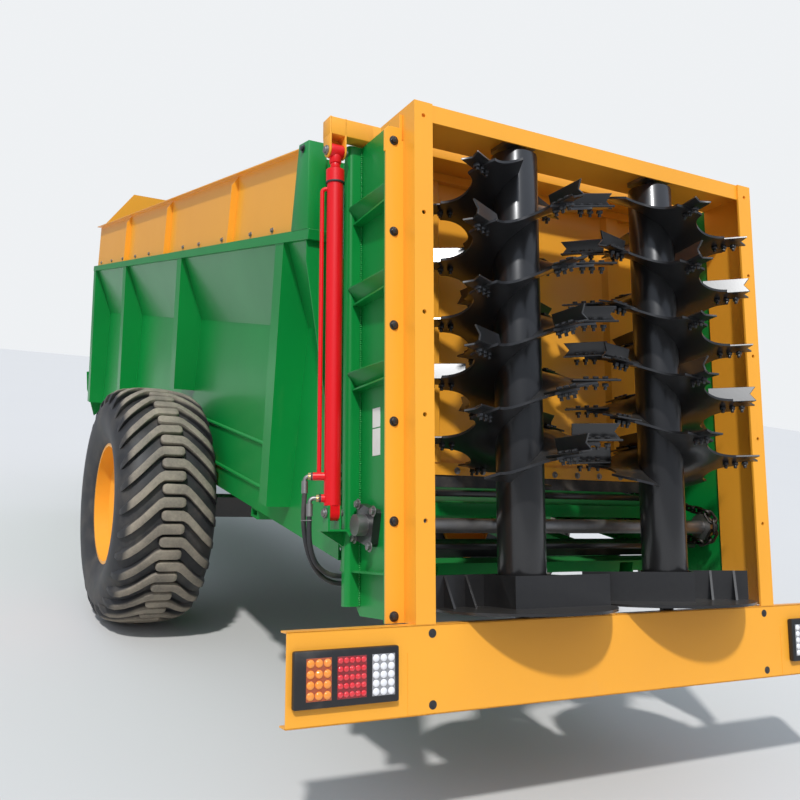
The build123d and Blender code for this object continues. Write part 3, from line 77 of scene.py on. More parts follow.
class Link:
    """A node socket that builds Math nodes when it is used in an expression."""

    def __init__(self, graph: "Graph", socket: bpy.types.NodeSocket) -> None:
        """Wraps one output socket of a graph.

        Args:
            graph: The graph that the socket belongs to.
            socket: The output socket.
        """
        self.graph = graph
        self.socket = socket

    def _math(self, operation: str, *values: object) -> "Link":
        """Adds a Math node on these values."""
        return self.graph.node("ShaderNodeMath", {"operation": operation}, dict(enumerate(values)))

    def __add__(self, other: object) -> "Link":
        """Sum."""
        return self._math("ADD", self, other)

    __radd__ = __add__

    def __sub__(self, other: object) -> "Link":
        """Difference."""
        return self._math("SUBTRACT", self, other)

    def __rsub__(self, other: object) -> "Link":
        """Difference from a number."""
        return self._math("SUBTRACT", other, self)

    def __mul__(self, other: object) -> "Link":
        """Product."""
        return self._math("MULTIPLY", self, other)

    __rmul__ = __mul__

    def __truediv__(self, other: object) -> "Link":
        """Quotient."""
        return self._math("DIVIDE", self, other)

    def __pow__(self, other: object) -> "Link":
        """Power."""
        return self._math("POWER", self, other)

    def clamp(self) -> "Link":
        """The value kept between 0 and 1."""
        return self._math("MINIMUM", self._math("MAXIMUM", self, 0.0), 1.0)

    def ramp(self, low: float, high: float) -> "Link":
        """Smooth step of the value.

        Args:
            low: Value that becomes 0.
            high: Value that becomes 1.

        Returns:
            The mapped value.
        """
        return self.graph.node(
            "ShaderNodeMapRange",
            {"interpolation_type": "SMOOTHSTEP"},
            {"Value": self, "From Min": low, "From Max": high},
        )


class Graph:
    """Node graph of one material."""

    def __init__(self, name: str) -> None:
        """Starts a material with an empty Principled shader.

        Args:
            name: Name of the material.
        """
        self.material = bpy.data.materials.new(name)
        self.material.use_nodes = True
        self.tree = self.material.node_tree
        self.shader = self.tree.nodes["Principled BSDF"]
        self.place = self.node("ShaderNodeTexCoord", {}, {}, "Object")

    def node(self, kind: str, settings: dict, inputs: dict, output: object = 0) -> Link:
        """Adds a node.

        Args:
            kind: Blender's type name of the node.
            settings: Attributes that are set first.
            inputs: Values or links by socket name or number.
            output: Name or number of the output to return.

        Returns:
            The chosen output.
        """
        made = self.tree.nodes.new(kind)
        for key, value in settings.items():
            setattr(made, key, value)
        for key, value in inputs.items():
            if isinstance(value, Link):
                self.tree.links.new(value.socket, made.inputs[key])
            else:
                made.inputs[key].default_value = value
        return Link(self, made.outputs[output])

    def noise(self, scale: float, detail: float, rough: float = 0.55, source: "Link | None" = None) -> Link:
        """Noise pattern.

        Args:
            scale: Cells per metre.
            detail: Octaves.
            rough: Share of the finer octaves.
            source: Place that it reads, or the object's own.

        Returns:
            The noise value.
        """
        return self.node(
            "ShaderNodeTexNoise",
            {},
            {"Vector": source or self.place, "Scale": scale, "Detail": detail, "Roughness": rough},
        )

    def stretched(self, scale: Point) -> Link:
        """The object's place scaled along each axis."""
        return self.node("ShaderNodeMapping", {}, {"Vector": self.place, "Scale": scale})

    def axis(self, index: int, source: "Link | None" = None) -> Link:
        """One coordinate of a place."""
        return self.node("ShaderNodeSeparateXYZ", {}, {0: source or self.place}, index)

    def upward(self) -> Link:
        """How far a face looks up, from -1 to 1."""
        normal = self.node("ShaderNodeNewGeometry", {}, {}, "Normal")
        return self.axis(2, normal)

    def mix(self, factor: object, first: object, second: object) -> Link:
        """Mix of two colours.

        Args:
            factor: Share of the second colour.
            first: Colour or link.
            second: Colour or link.

        Returns:
            The mixed colour.
        """
        return self.node(
            "ShaderNodeMix",
            {"data_type": "RGBA"},
            {0: factor, 6: colour(first), 7: colour(second)},
            2,
        )

    def bump(self, height: Link, strength: float, distance: float) -> None:
        """Leads a height to the shader's normal.

        Args:
            height: Height value.
            strength: Strength from 0 to 1.
            distance: Height in metres that a value of 1 stands for.
        """
        inputs = {"Height": height, "Strength": strength, "Distance": distance}
        self.set({"Normal": self.node("ShaderNodeBump", {}, inputs)})

    def set(self, values: dict) -> None:
        """Sets or links sockets of the shader.

        Args:
            values: Values or links by socket name.
        """
        for key, value in values.items():
            if isinstance(value, Link):
                self.tree.links.new(value.socket, self.shader.inputs[key])
            else:
                self.shader.inputs[key].default_value = colour(value)


def colour(value: object) -> object:
    """Gives a triple its alpha, and leaves all else as it is.

    Args:
        value: Colour, number or link.

    Returns:
        What a socket takes.
    """
    if isinstance(value, tuple) and len(value) == 3:
        return (*value, 1.0)
    return value


# Finishes


@dataclass(frozen=True)
class Paint:
    """Sprayed gloss paint with a little dust."""

    name: str
    base: tuple
    shade: tuple
    rough: float = 0.32
    coat: float = 0.12
    dust: float = 0.12
    gloss: float = 0.38
    dust_colour: tuple = (0.42, 0.36, 0.28)
    dust_top: float = 1.1
    peel: float = 0.05

    def material(self) -> bpy.types.Material:
        """Builds the paint.

        Returns:
            The material.
        """
        graph = Graph(self.name)
        patch = graph.noise(2.2, 4.0)
        grain = graph.noise(60.0, 3.0)
        tone = graph.mix((patch * 1.4 - 0.35).clamp(), self.base, self.shade)
        low = 1 - graph.axis(2).ramp(0.15, self.dust_top)
        flat = graph.upward().ramp(0.4, 0.95)
        cover = (low * 0.55 + flat * 0.6) * (grain * 0.8 + patch * 0.9 - 0.35) * self.dust
        cover = cover.clamp()
        runs = graph.noise(1.0, 5.0, 0.6, graph.stretched((9.0, 9.0, 1.2)))
        streak = runs.ramp(0.62, 0.8) * self.dust * 0.35
        cover = (cover + streak).clamp()
        graph.set(
            {
                "Base Color": graph.mix(cover, tone, self.dust_colour),
                "Roughness": self.rough + cover * 0.5 + patch * 0.08,
                "Coat Weight": self.coat,
                "Coat Roughness": 0.12,
                "Specular IOR Level": self.gloss,
            }
        )
        graph.bump(graph.noise(140.0, 2.0), self.peel, 0.001)
        return graph.material


@dataclass(frozen=True)
class Steel:
    """Bare or chromed steel."""

    name: str
    base: tuple
    rough: float
    grime: float = 0.3

    def material(self) -> bpy.types.Material:
        """Builds the metal.

        Returns:
            The material.
        """
        graph = Graph(self.name)
        patch = graph.noise(7.0, 5.0)
        fine = graph.noise(160.0, 2.0)
        dirt = patch.ramp(0.45, 0.75) * self.grime
        graph.set(
            {
                "Base Color": graph.mix(dirt, self.base, (0.09, 0.07, 0.05)),
                "Metallic": 1 - dirt * 0.7,
                "Roughness": (self.rough + fine * 0.12 + dirt * 0.5).clamp(),
            }
        )
        graph.bump(fine, 0.08, 0.0006)
        return graph.material


@dataclass(frozen=True)
class Rubber:
    """Black rubber, dusty on the tops of the tread."""

    name: str
    base: tuple = (0.022, 0.022, 0.024)
    dust_colour: tuple = (0.40, 0.34, 0.26)
    dust: float = 0.8
    tread_low: float = 0.0
    tread_high: float = 0.0
    hub_x: float = HUB[0]
    hub_z: float = HUB[1]
    hub_y: float = TYRE_Y

    def material(self) -> bpy.types.Material:
        """Builds the rubber.

        Returns:
            The material.
        """
        graph = Graph(self.name)
        patch = graph.noise(9.0, 5.0)
        fine = graph.noise(90.0, 3.0)
        cover = patch.ramp(0.4, 0.8) * 0.35
        if self.tread_high > self.tread_low:
            along = graph.axis(0) - self.hub_x
            height = graph.axis(2) - self.hub_z
            radius = (along * along + height * height) ** 0.5
            across = (graph.axis(1) * graph.axis(1)) ** 0.5 - self.hub_y
            outward = ((across * across) ** 0.5).ramp(0.07, 0.20)
            worn = (radius + outward * outward * outward * 0.022).ramp(self.tread_low, self.tread_high)
            cover = cover * 0.5 + worn * (fine * 0.5 + patch * 0.9)
        cover = (cover * self.dust).clamp()
        graph.set(
            {
                "Base Color": graph.mix(cover, self.base, self.dust_colour),
                "Roughness": 0.55 + cover * 0.35,
            }
        )
        graph.bump(fine, 0.15, 0.0012)
        return graph.material


@dataclass(frozen=True)
class Lens:
    """Clear moulded lens."""

    name: str
    base: tuple
    rough: float = 0.1

    def material(self) -> bpy.types.Material:
        """Builds the lens.

        Returns:
            The material.
        """
        graph = Graph(self.name)
        haze = graph.noise(30.0, 3.0)
        graph.set(
            {
                "Base Color": graph.mix(haze * 0.2, self.base, (0.3, 0.28, 0.26)),
                "Roughness": self.rough + haze * 0.08,
                "Coat Weight": 0.8,
                "Coat Roughness": 0.05,
            }
        )
        return graph.material


@dataclass(frozen=True)
class Plastic:
    """Plain moulded plastic."""

    name: str
    base: tuple
    rough: float = 0.45

    def material(self) -> bpy.types.Material:
        """Builds the plastic.

        Returns:
            The material.
        """
        graph = Graph(self.name)
        fine = graph.noise(120.0, 2.0)
        dust = graph.noise(6.0, 4.0).ramp(0.5, 0.85) * 0.25
        graph.set(
            {
                "Base Color": graph.mix(dust, self.base, (0.35, 0.3, 0.25)),
                "Roughness": self.rough + dust * 0.4,
            }
        )
        graph.bump(fine, 0.1, 0.0006)
        return graph.material


# Frames of reference


@dataclass(frozen=True)
class Lean:
    """Leaning frame of the rear end."""

    x: float = -3.310
    z: float = 0.676
    rake: float = 13.3

    def matrix(self) -> Matrix:
        """Turns leaning coordinates into the machine's."""
        return at(self.x, 0, self.z) @ turn("Y", self.rake)


def at(x: float, y: float, z: float) -> Matrix:
    """Place in the machine's frame."""
    return Matrix.Translation((x, y, z))


def up(distance: float) -> Matrix:
    """Shift along Z."""
    return Matrix.Translation((0, 0, distance))


def turn(axis: str, degrees: float) -> Matrix:
    """Rotation about an axis by name."""
    return Matrix.Rotation(math.radians(degrees), 4, axis)


def outboard(side: int) -> Matrix:
    """Turns +Z to the left for 1 and to the right for -1."""
    return turn("X", -90 * side)


LEAN = Lean().matrix()
REARWARD = turn("Y", -90)
FORWARD = turn("Y", 90)


def lean_at(u: float, v: float, w: float) -> Matrix:
    """Place in the leaning frame."""
    return LEAN @ Matrix.Translation((u, v, w))


# Modelling


class Bench:
    """Modelling steps on Blender's own operators."""

    @staticmethod
    def clear() -> None:
        """Leaves edit mode and deselects everything."""
        if bpy.context.object and bpy.context.object.mode != "OBJECT":
            bpy.ops.object.mode_set(mode="OBJECT")
        bpy.ops.object.select_all(action="DESELECT")

    @classmethod
    def pick(cls, *objects: bpy.types.Object) -> bpy.types.Object:
        """Selects objects and makes the first one active.

        Args:
            objects: What to select.

        Returns:
            The first object.
        """
        cls.clear()
        for item in objects:
            item.select_set(True)
        bpy.context.view_layer.objects.active = objects[0]
        return objects[0]

    @classmethod
    def modify(cls, item: bpy.types.Object, kind: str, **settings: object) -> bpy.types.Object:
        """Adds a modifier and applies it.

        Args:
            item: Object to change.
            kind: Blender's type name of the modifier.
            settings: Attributes of the modifier.

        Returns:
            The object.
        """
        cls.pick(item)
        modifier = item.modifiers.new(kind.title(), kind)
        for key, value in settings.items():
            setattr(modifier, key, value)
        bpy.ops.object.modifier_apply(modifier=modifier.name)
        return item

    @classmethod
    def bevel(cls, item: bpy.types.Object, width: float, segments: int = 2) -> bpy.types.Object:
        """Rounds the edges that are sharper than the limit."""
        limit = {"limit_method": "ANGLE", "angle_limit": EDGE_LIMIT}
        return cls.modify(item, "BEVEL", width=width, segments=segments, **limit)

    @classmethod
    def smooth(cls, item: bpy.types.Object, degrees: float = 35.0) -> bpy.types.Object:
        """Shades the faces smooth below an angle.

        Args:
            item: Object to shade.
            degrees: The angle.

        Returns:
            The object.
        """
        cls.pick(item)
        bpy.ops.object.shade_smooth_by_angle(angle=math.radians(degrees))
        return item

    @classmethod
    def block(cls, name: str, size: Point, where: Matrix, round_edge: float = 0.0) -> bpy.types.Object:
        """Block with rounded edges.

        Args:
            name: Name of the object.
            size: Three sizes.
            where: Place of its centre.
            round_edge: Width of the rounding.

        Returns:
            The object.
        """
        cls.clear()
        bpy.ops.mesh.primitive_cube_add(size=1.0)
        item = bpy.context.object
        item.name = name
        cls.place(item, Matrix.Diagonal((*size, 1.0)))
        if round_edge:
            cls.bevel(item, round_edge)
        return cls.place(item, where)

    @classmethod
    def drum(
        cls, name: str, radius: float, length: float, sides: int, round_edge: float = 0.0, foot: float = 0.0
    ) -> bpy.types.Object:
        """Closed cylinder on the Z axis.

        Args:
            name: Name of the object.
            radius: Radius.
            length: Length.
            sides: Sides of its outline.
            round_edge: Width of the rounding of its rims.
            foot: Height of its lower end.

        Returns:
            The object.
        """
        cls.clear()
        bpy.ops.mesh.primitive_cylinder_add(vertices=sides, radius=radius, depth=length)
        item = bpy.context.object
        item.name = name
        if round_edge:
            cls.bevel(item, round_edge)
        return cls.place(item, up(foot + length / 2))

    @staticmethod
    def mesh(
        name: str, points: Sequence[Point], faces: Sequence[tuple], edges: Sequence[tuple] = ()
    ) -> bpy.types.Object:
        """Object made of corners with faces or bare edges between them.

        Args:
            name: Name of the object.
            points: Corners.
            faces: Corner numbers of each face.
            edges: Corner numbers of each bare edge.

        Returns:
            The object.
        """
        data = bpy.data.meshes.new(name)
        data.from_pydata(points, edges, faces)
        item = bpy.data.objects.new(name, data)
        bpy.context.scene.collection.objects.link(item)
        return item

    @classmethod
    def screw(cls, item: bpy.types.Object, angle: float, steps: int, **settings: object) -> bpy.types.Object:
        """Turns a line of edges round the Z axis into a surface.

        Args:
            item: The line.
            angle: Angle in radians.
            steps: Steps of the turn.
            settings: Further attributes of the modifier.

        Returns:
            The surface.
        """
        return cls.modify(item, "SCREW", axis="Z", angle=angle, steps=steps, render_steps=steps, **settings)

    @classmethod
    def lathe(cls, name: str, profile: Sequence[Point], steps: int) -> bpy.types.Object:
        """Closed outline of radius and height, spun round the Z axis.

        Args:
            name: Name of the object.
            profile: Corners as (radius, height).
            steps: Steps of the turn.

        Returns:
            The object.
        """
        edges = [(i, (i + 1) % len(profile)) for i in range(len(profile))]
        item = cls.mesh(name, [(radius, 0.0, height) for radius, height in profile], (), edges)
        return cls.outward(cls.screw(item, math.tau, steps, use_merge_vertices=True))

    @classmethod
    def outward(cls, item: bpy.types.Object) -> bpy.types.Object:
        """Merges corners that lie on each other and turns all faces outwards.

        Args:
            item: Object to mend.

        Returns:
            The object.
        """
        cls.pick(item)
        bpy.ops.object.mode_set(mode="EDIT")
        bpy.ops.mesh.select_all(action="SELECT")
        bpy.ops.mesh.remove_doubles(threshold=MERGE_DISTANCE)
        bpy.ops.mesh.normals_make_consistent(inside=False)
        bpy.ops.object.mode_set(mode="OBJECT")
        return item

    @staticmethod
    def place(item: bpy.types.Object, matrix: Matrix) -> bpy.types.Object:
        """Puts a move or turn into the mesh itself.

        Args:
            item: Object to move.
            matrix: The move.

        Returns:
            The object.
        """
        item.data.transform(matrix)
        if matrix.determinant() < 0:
            item.data.flip_normals()
        item.data.update()
        return item

    @staticmethod
    def copy(item: bpy.types.Object, matrix: Matrix) -> bpy.types.Object:
        """Copies an object with its own mesh, at another place.

        Args:
            item: What to copy.
            matrix: Where the copy goes.

        Returns:
            The copy.
        """
        twin = item.copy()
        twin.data = item.data.copy()
        bpy.context.scene.collection.objects.link(twin)
        return Bench.place(twin, matrix)

    @classmethod
    def join(cls, name: str, items: Iterable[bpy.types.Object]) -> bpy.types.Object:
        """Joins objects into one.

        Args:
            name: Name of the joined object.
            items: The objects.

        Returns:
            The joined object.
        """
        listed = list(items)
        cls.pick(*listed)
        if len(listed) > 1:
            bpy.ops.object.join()
        whole = bpy.context.object
        whole.name = name
        return whole

    @classmethod
    def spread(cls, name: str, model: bpy.types.Object, places: Iterable[Matrix]) -> bpy.types.Object:
        """Copies a model to many places, joins the copies and removes the model.

        Args:
            name: Name of the joined object.
            model: What to copy.
            places: Where each copy goes.

        Returns:
            The joined object.
        """
        copies = [cls.copy(model, place) for place in places]
        bpy.data.objects.remove(model)
        return cls.join(name, copies)

    @classmethod
    def prism(cls, name: str, outline: Sequence[Point], depth: Point, round_edge: float) -> bpy.types.Object:
        """Flat outline of the leaning frame, pushed out to a solid.

        Args:
            name: Name of the object.
            outline: Corners in the leaning frame.
            depth: How far the outline is pushed.
            round_edge: Width of the rounded edges.

        Returns:
            The solid.
        """
        count = len(outline)
        far = [tuple(a + b for a, b in zip(corner, depth)) for corner in outline]
        faces = [tuple(range(count)), tuple(reversed(range(count, 2 * count)))]
        faces += [(i, count + i, count + (i + 1) % count, (i + 1) % count) for i in range(count)]
        item = cls.outward(cls.mesh(name, [*outline, *far], faces))
        return cls.place(cls.bevel(item, round_edge), LEAN)


def dress(item: bpy.types.Object, material: bpy.types.Material) -> None:
    """Gives an object one material."""
    item.data.materials.clear()
    item.data.materials.append(material)


# Camera, light and floor


@dataclass(frozen=True)
class Viewpoint:
    """The photograph's camera."""

    place: tuple = (-5.52, 2.077, 1.449)
    yaw: float = 28.853
    pitch: float = -3.442
    roll: float = 6.302
    focal: float = 911.43
    centre: tuple = (407.8, 407.7)

    def build(self) -> None:
        """Creates the camera."""
        yaw, pitch, roll = (math.radians(a) for a in (self.yaw, self.pitch, self.roll))
        ahead = Vector((math.cos(pitch) * math.cos(yaw), -math.cos(pitch) * math.sin(yaw), math.sin(pitch)))
        right = Vector((-math.sin(yaw), -math.cos(yaw), 0))
        above = right.cross(ahead)
        tilted = right * math.cos(roll) + above * math.sin(roll)
        crown = above * math.cos(roll) - right * math.sin(roll)
        data = bpy.data.cameras.new("camera")
        data.sensor_width = SENSOR
        data.lens = SENSOR * self.focal / PHOTO_SIDE
        data.shift_x = -(self.centre[0] - PHOTO_SIDE / 2) / PHOTO_SIDE
        data.shift_y = (self.centre[1] - PHOTO_SIDE / 2) / PHOTO_SIDE
        camera = bpy.data.objects.new("camera", data)
        camera.matrix_world = Matrix(
            (
                (tilted.x, crown.x, -ahead.x, self.place[0]),
                (tilted.y, crown.y, -ahead.y, self.place[1]),
                (tilted.z, crown.z, -ahead.z, self.place[2]),
                (0, 0, 0, 1),
            )
        )
        bpy.context.scene.collection.objects.link(camera)
        bpy.context.scene.camera = camera


@dataclass(frozen=True)
class Studio:
    """Floor, sky light and sun."""

    floor_side: float = 60.0
    floor_colour: tuple = (0.62, 0.61, 0.59)
    floor_patch: tuple = (0.5, 0.49, 0.47)
    horizon: tuple = (0.22, 0.23, 0.25)
    zenith: tuple = (0.72, 0.80, 0.94)
    backdrop: tuple = (0.86, 0.88, 0.90)
    sun_strength: float = 2.5
    sun_from: tuple = (-0.50, 0.36, 0.79)
    sun_angle: float = 3.0
    sky_top: float = 0.75

    def build(self) -> None:
        """Creates the floor and the lights."""
        bpy.context.scene.view_settings.view_transform = "Standard"
        Bench.clear()
        bpy.ops.mesh.primitive_plane_add(size=self.floor_side, location=(0, 0, 0))
        floor = bpy.context.object
        floor.name = "floor"
        graph = Graph("floor_concrete")
        tone = graph.mix(graph.noise(0.8, 5.0) * 0.12, self.floor_colour, self.floor_patch)
        graph.set({"Base Color": tone, "Roughness": 0.9})
        dress(floor, graph.material)
        world = bpy.data.worlds.new("sky")
        world.use_nodes = True
        self.sky(world.node_tree)
        bpy.context.scene.world = world
        sun_data = bpy.data.lights.new("sun", "SUN")
        sun_data.energy = self.sun_strength
        sun_data.angle = math.radians(self.sun_angle)
        sun = bpy.data.objects.new("sun", sun_data)
        sun.rotation_euler = Vector(self.sun_from).to_track_quat("Z", "Y").to_euler()
        bpy.context.scene.collection.objects.link(sun)

    def sky(self, tree: bpy.types.NodeTree) -> None:
        """Grades the light from the horizon up, behind a plain backdrop.

        Args:
            tree: Node tree of the world.
        """
        coordinates = tree.nodes.new("ShaderNodeTexCoord")
        parts = tree.nodes.new("ShaderNodeSeparateXYZ")
        height = tree.nodes.new("ShaderNodeMapRange")
        height.inputs["From Min"].default_value = 0.0
        height.inputs["From Max"].default_value = self.sky_top
        grade = tree.nodes.new("ShaderNodeMixRGB")
        grade.inputs["Color1"].default_value = colour(self.horizon)
        grade.inputs["Color2"].default_value = colour(self.zenith)
        path = tree.nodes.new("ShaderNodeLightPath")
        view = tree.nodes.new("ShaderNodeMixRGB")
        view.inputs["Color2"].default_value = colour(self.backdrop)
        tree.links.new(coordinates.outputs["Generated"], parts.inputs["Vector"])
        tree.links.new(parts.outputs["Z"], height.inputs["Value"])
        tree.links.new(height.outputs["Result"], grade.inputs["Fac"])
        tree.links.new(grade.outputs["Color"], view.inputs["Color1"])
        tree.links.new(path.outputs["Is Camera Ray"], view.inputs["Fac"])
        tree.links.new(view.outputs["Color"], tree.nodes["Background"].inputs["Color"])


# Finishes of the whole machine


class Tone(Enum):
    """Material slots of the record, with the finish of each."""

    GREEN = ("green_paint", Paint("green_gloss", (0.002, 0.27, 0.045), (0.001, 0.21, 0.035)))
    YELLOW = ("yellow_paint", Paint("yellow_gloss", (0.95, 0.42, 0.035), (0.90, 0.38, 0.030), dust=0.1))
    RED = ("red_paint", Paint("red_gloss", (0.78, 0.004, 0.009), (0.70, 0.003, 0.007), dust=0.06))
    BLACK = (
        "black_paint",
        Paint("black_gloss", (0.011, 0.011, 0.012), (0.018, 0.018, 0.019), 0.27, 0.4, 0.15, 0.5),
    )
    STEEL = ("bare_steel", Steel("bare_steel", (0.32, 0.31, 0.3), 0.42))
    CHROME = ("chrome_rod", Steel("chrome_rod", (0.72, 0.72, 0.73), 0.12, 0.08))
    TYRE = ("tyre", Rubber("tyre_rubber", tread_low=0.547, tread_high=0.561))
    RUBBER = ("rubber", Rubber("plain_rubber"))
    HOUSING = ("lamp_black", Plastic("lamp_housing", (0.015, 0.015, 0.016)))
    AMBER = ("lamp_amber", Lens("amber_lens", (0.42, 0.07, 0.01)))
    CRIMSON = ("lamp_red", Lens("red_lens", (0.25, 0.004, 0.01)))
    WHITE = ("lamp_white", Lens("white_lens", (0.30, 0.30, 0.31)))
    AMBER_PIP = ("lamp_amber", Lens("amber_pip", (1.0, 0.30, 0.01)))
    CRIMSON_PIP = ("lamp_red", Lens("red_pip", (0.80, 0.006, 0.02)))
    WHITE_PIP = ("lamp_white", Lens("white_pip", (0.90, 0.90, 0.92)))
    BRASS = ("brass", Steel("brass", (0.55, 0.4, 0.16), 0.3))
    OILY = ("black_paint", Steel("oily_chain", (0.055, 0.05, 0.045), 0.42, 0.5))
    SIGN = ("lamp_white", Plastic("blank_sign", (0.82, 0.8, 0.74), 0.35))


class Wardrobe:
    """Builds each finish once and hands it out."""

    def __init__(self, record: dict) -> None:
        """Notes which slot each CAD node takes.

        Args:
            record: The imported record.
        """
        self.slots = {row["node"]: row["material_slot"] for row in record["subparts"]}
        self.made: dict[str, bpy.types.Material] = {}

    def get(self, tone: Tone) -> bpy.types.Material:
        """Material of a tone.

        Args:
            tone: The tone.

        Returns:
            Its material, built when first asked for.
        """
        finish = tone.value[1]
        if finish.name not in self.made:
            self.made[finish.name] = finish.material()
        return self.made[finish.name]

    def dress_node(self, name: str, item: bpy.types.Object) -> None:
        """Gives a CAD node its slot's material."""
        tone = next(t for t in Tone if t.value[0] == self.slots[name])
        dress(item, self.get(tone))

    def finish_piece(self, item: bpy.types.Object, tone: Tone, body: str) -> bpy.types.Object:
        """Dresses a new piece and lets it ride on a body.

        Args:
            item: The piece.
            tone: Its finish.
            body: The CAD body that it moves with.

        Returns:
            The piece.
        """
        dress(item, self.get(tone))
        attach(item, body)
        LOG.info("%s rides on %s with %d faces", item.name, body, len(item.data.polygons))
        return item

    def set_out(
        self,
        name: str,
        model: bpy.types.Object,
        places: Iterable[Matrix],
        tone: Tone,
        body: str = "body",
        degrees: float = 35.0,
    ) -> bpy.types.Object:
        """Copies a model to its places, smooths the copies and finishes them as one piece.

        Args:
            name: Name of the piece.
            model: What to copy.
            places: Where each copy goes.
            tone: Finish of the piece.
            body: The CAD body that it moves with.
            degrees: Angle below which its faces are smooth.

        Returns:
            The piece.
        """
        piece = Bench.smooth(Bench.spread(name, model, places), degrees)
        return self.finish_piece(piece, tone, body)


# Rotors


@dataclass
class Rotor:
    """Upright rotor: tube, two scalloped helical flights and bolted blades."""

    wardrobe: Wardrobe
    side: int
    axis_u: float = 0.090
    axis_v: float = 0.311
    tube_radius: float = 0.079
    tube_low: float = 0.036
    tube_high: float = 1.536
    stub_radius: float = 0.024
    stub_high: float = 1.580
    collar_wall: float = 0.006
    collar_length: float = 0.03
    pitch: float = 0.396
    starts: int = 2
    turn_steps: int = 72
    flight_low: float = 0.425
    flight_high: float = 1.452
    flight_radius: float = 0.258
    flight_sheet: float = 0.008
    flight_root: float = 0.004
    flight_cuts: int = 5
    front_w: float = 1.284
    right_drop: float = 0.109
    right_spin: float = 13.0
    lobes: int = 6
    scallop_radius: float = 0.095
    scallop_centre: float = 0.286
    blade_reach: float = 0.334
    blade_length: float = 0.160
    blade_leg: float = 0.054
    blade_sheet: float = 0.007
    blade_notch: float = 0.020
    blade_edge: float = 0.0012
    blade_margin: float = 0.02
    plate_half: float = 0.03024
    bolt_insets: tuple = (0.048, 0.080, 0.112)

    def matrix(self) -> Matrix:
        """Place of the rotor's axis, mirrored and turned a little on the right."""
        flip = Matrix.Diagonal((1, self.side, 1, 1))
        spin = turn("Z", self.right_spin if self.side < 0 else 0.0)
        return lean_at(self.axis_u, self.side * self.axis_v, 0) @ flip @ spin

    def crossing(self) -> float:
        """Height where a flight crosses the rear line."""
        return self.front_w - (self.right_drop if self.side < 0 else 0.0)

    def tube(self) -> bpy.types.Object:
        """Tube with its foot collar and stub.

        Returns:
            The tube, upright on the Z axis.
        """
        length = self.tube_high - self.tube_low
        body = Bench.drum("tube", self.tube_radius, length, 64, 0.003, self.tube_low)
        stub_length = self.stub_high - self.tube_high
        stub = Bench.drum("stub", self.stub_radius, stub_length, 32, 0.002, self.tube_high)
        collar = Bench.drum(
            "collar", self.tube_radius + self.collar_wall, self.collar_length, 64, 0.004, self.tube_low
        )
        return Bench.join("tube", [body, stub, collar])

    def ribbon(self) -> bpy.types.Object:
        """Radial edge turned up the tube, starting at angle 0 and height 0.

        Returns:
            The helical surface.
        """
        inner = self.tube_radius - self.flight_root
        spans = self.flight_cuts + 1
        step = (self.flight_radius - inner) / spans
        points = [(inner + i * step, 0, 0) for i in range(spans + 1)]
        item = Bench.mesh("flight", points, (), [(i, i + 1) for i in range(spans)])
        rise = self.flight_high - self.flight_low
        turns = rise / self.pitch
        return Bench.screw(
            item, math.tau * turns, int(turns * self.turn_steps), screw_offset=rise, use_merge_vertices=False
        )

    def start_angle(self, start: int) -> float:
        """Angle in degrees of a flight at height zero."""
        return 180 + start * 360 / self.starts - self.crossing() * 360 / self.pitch

    def flights(self) -> bpy.types.Object:
        """Both flights with their scalloped edges.

        Returns:
            The flights as one object.
        """
        made = []
        for start in range(self.starts):
            ribbon = Bench.modify(self.ribbon(), "SOLIDIFY", thickness=self.flight_sheet, offset=0.0)
            low_turn = self.start_angle(start) + self.flight_low * 360 / self.pitch
            made.append(Bench.outward(Bench.place(ribbon, up(self.flight_low) @ turn("Z", low_turn))))
        post = Bench.drum("cutter", self.scallop_radius, 2.0, 48)
        angles = [(lobe + 0.5) * 360 / self.lobes for lobe in range(self.lobes)]
        cutter = Bench.spread("cutter", post, [turn("Z", a) @ at(self.scallop_centre, 0, 0) for a in angles])
        for ribbon in made:
            Bench.modify(ribbon, "BOOLEAN", object=cutter, operation="DIFFERENCE", solver="EXACT")
        bpy.data.objects.remove(cutter)
        return Bench.join("flights", made)

    def row(self, y: float, z: float, dip: float = 0.0) -> tuple:
        """Corners along a blade at one width, with its outer end pulled in by a dip."""
        inner = self.blade_reach - self.blade_length
        return ((inner, y, z), (inner + self.blade_length / 2, y, z), (self.blade_reach - dip, y, z))

    def sheet(self, name: str, rows: Sequence[tuple]) -> bpy.types.Object:
        """Blade of even thickness.

        Args:
            name: Name of the object.
            rows: Its corners, three to a row.

        Returns:
            The blade.
        """
        faces = [
            (3 * r + c, 3 * r + c + 1, 3 * r + c + 4, 3 * r + c + 3)
            for r in range(len(rows) - 1)
            for c in range(2)
        ]
        item = Bench.mesh(name, [point for row in rows for point in row], faces)
        Bench.modify(item, "SOLIDIFY", thickness=self.blade_sheet, offset=1.0)
        return Bench.bevel(Bench.outward(item), self.blade_edge, 1)

    def folded_blade(self) -> bpy.types.Object:
        """One folded blade with a notched outer end, lying along X."""
        mid = self.blade_leg / 2
        flat = [self.row(-mid, 0), self.row(0, 0, self.blade_notch), self.row(mid, 0)]
        return self.sheet("blade", flat + [self.row(mid, mid, self.blade_notch), self.row(mid, 2 * mid)])

    def flat_blade(self) -> bpy.types.Object:
        """One flat blade with a notched outer end, lying along X."""
        half = self.plate_half
        return self.sheet("plate", [self.row(-half, 0), self.row(0, 0, self.blade_notch), self.row(half, 0)])

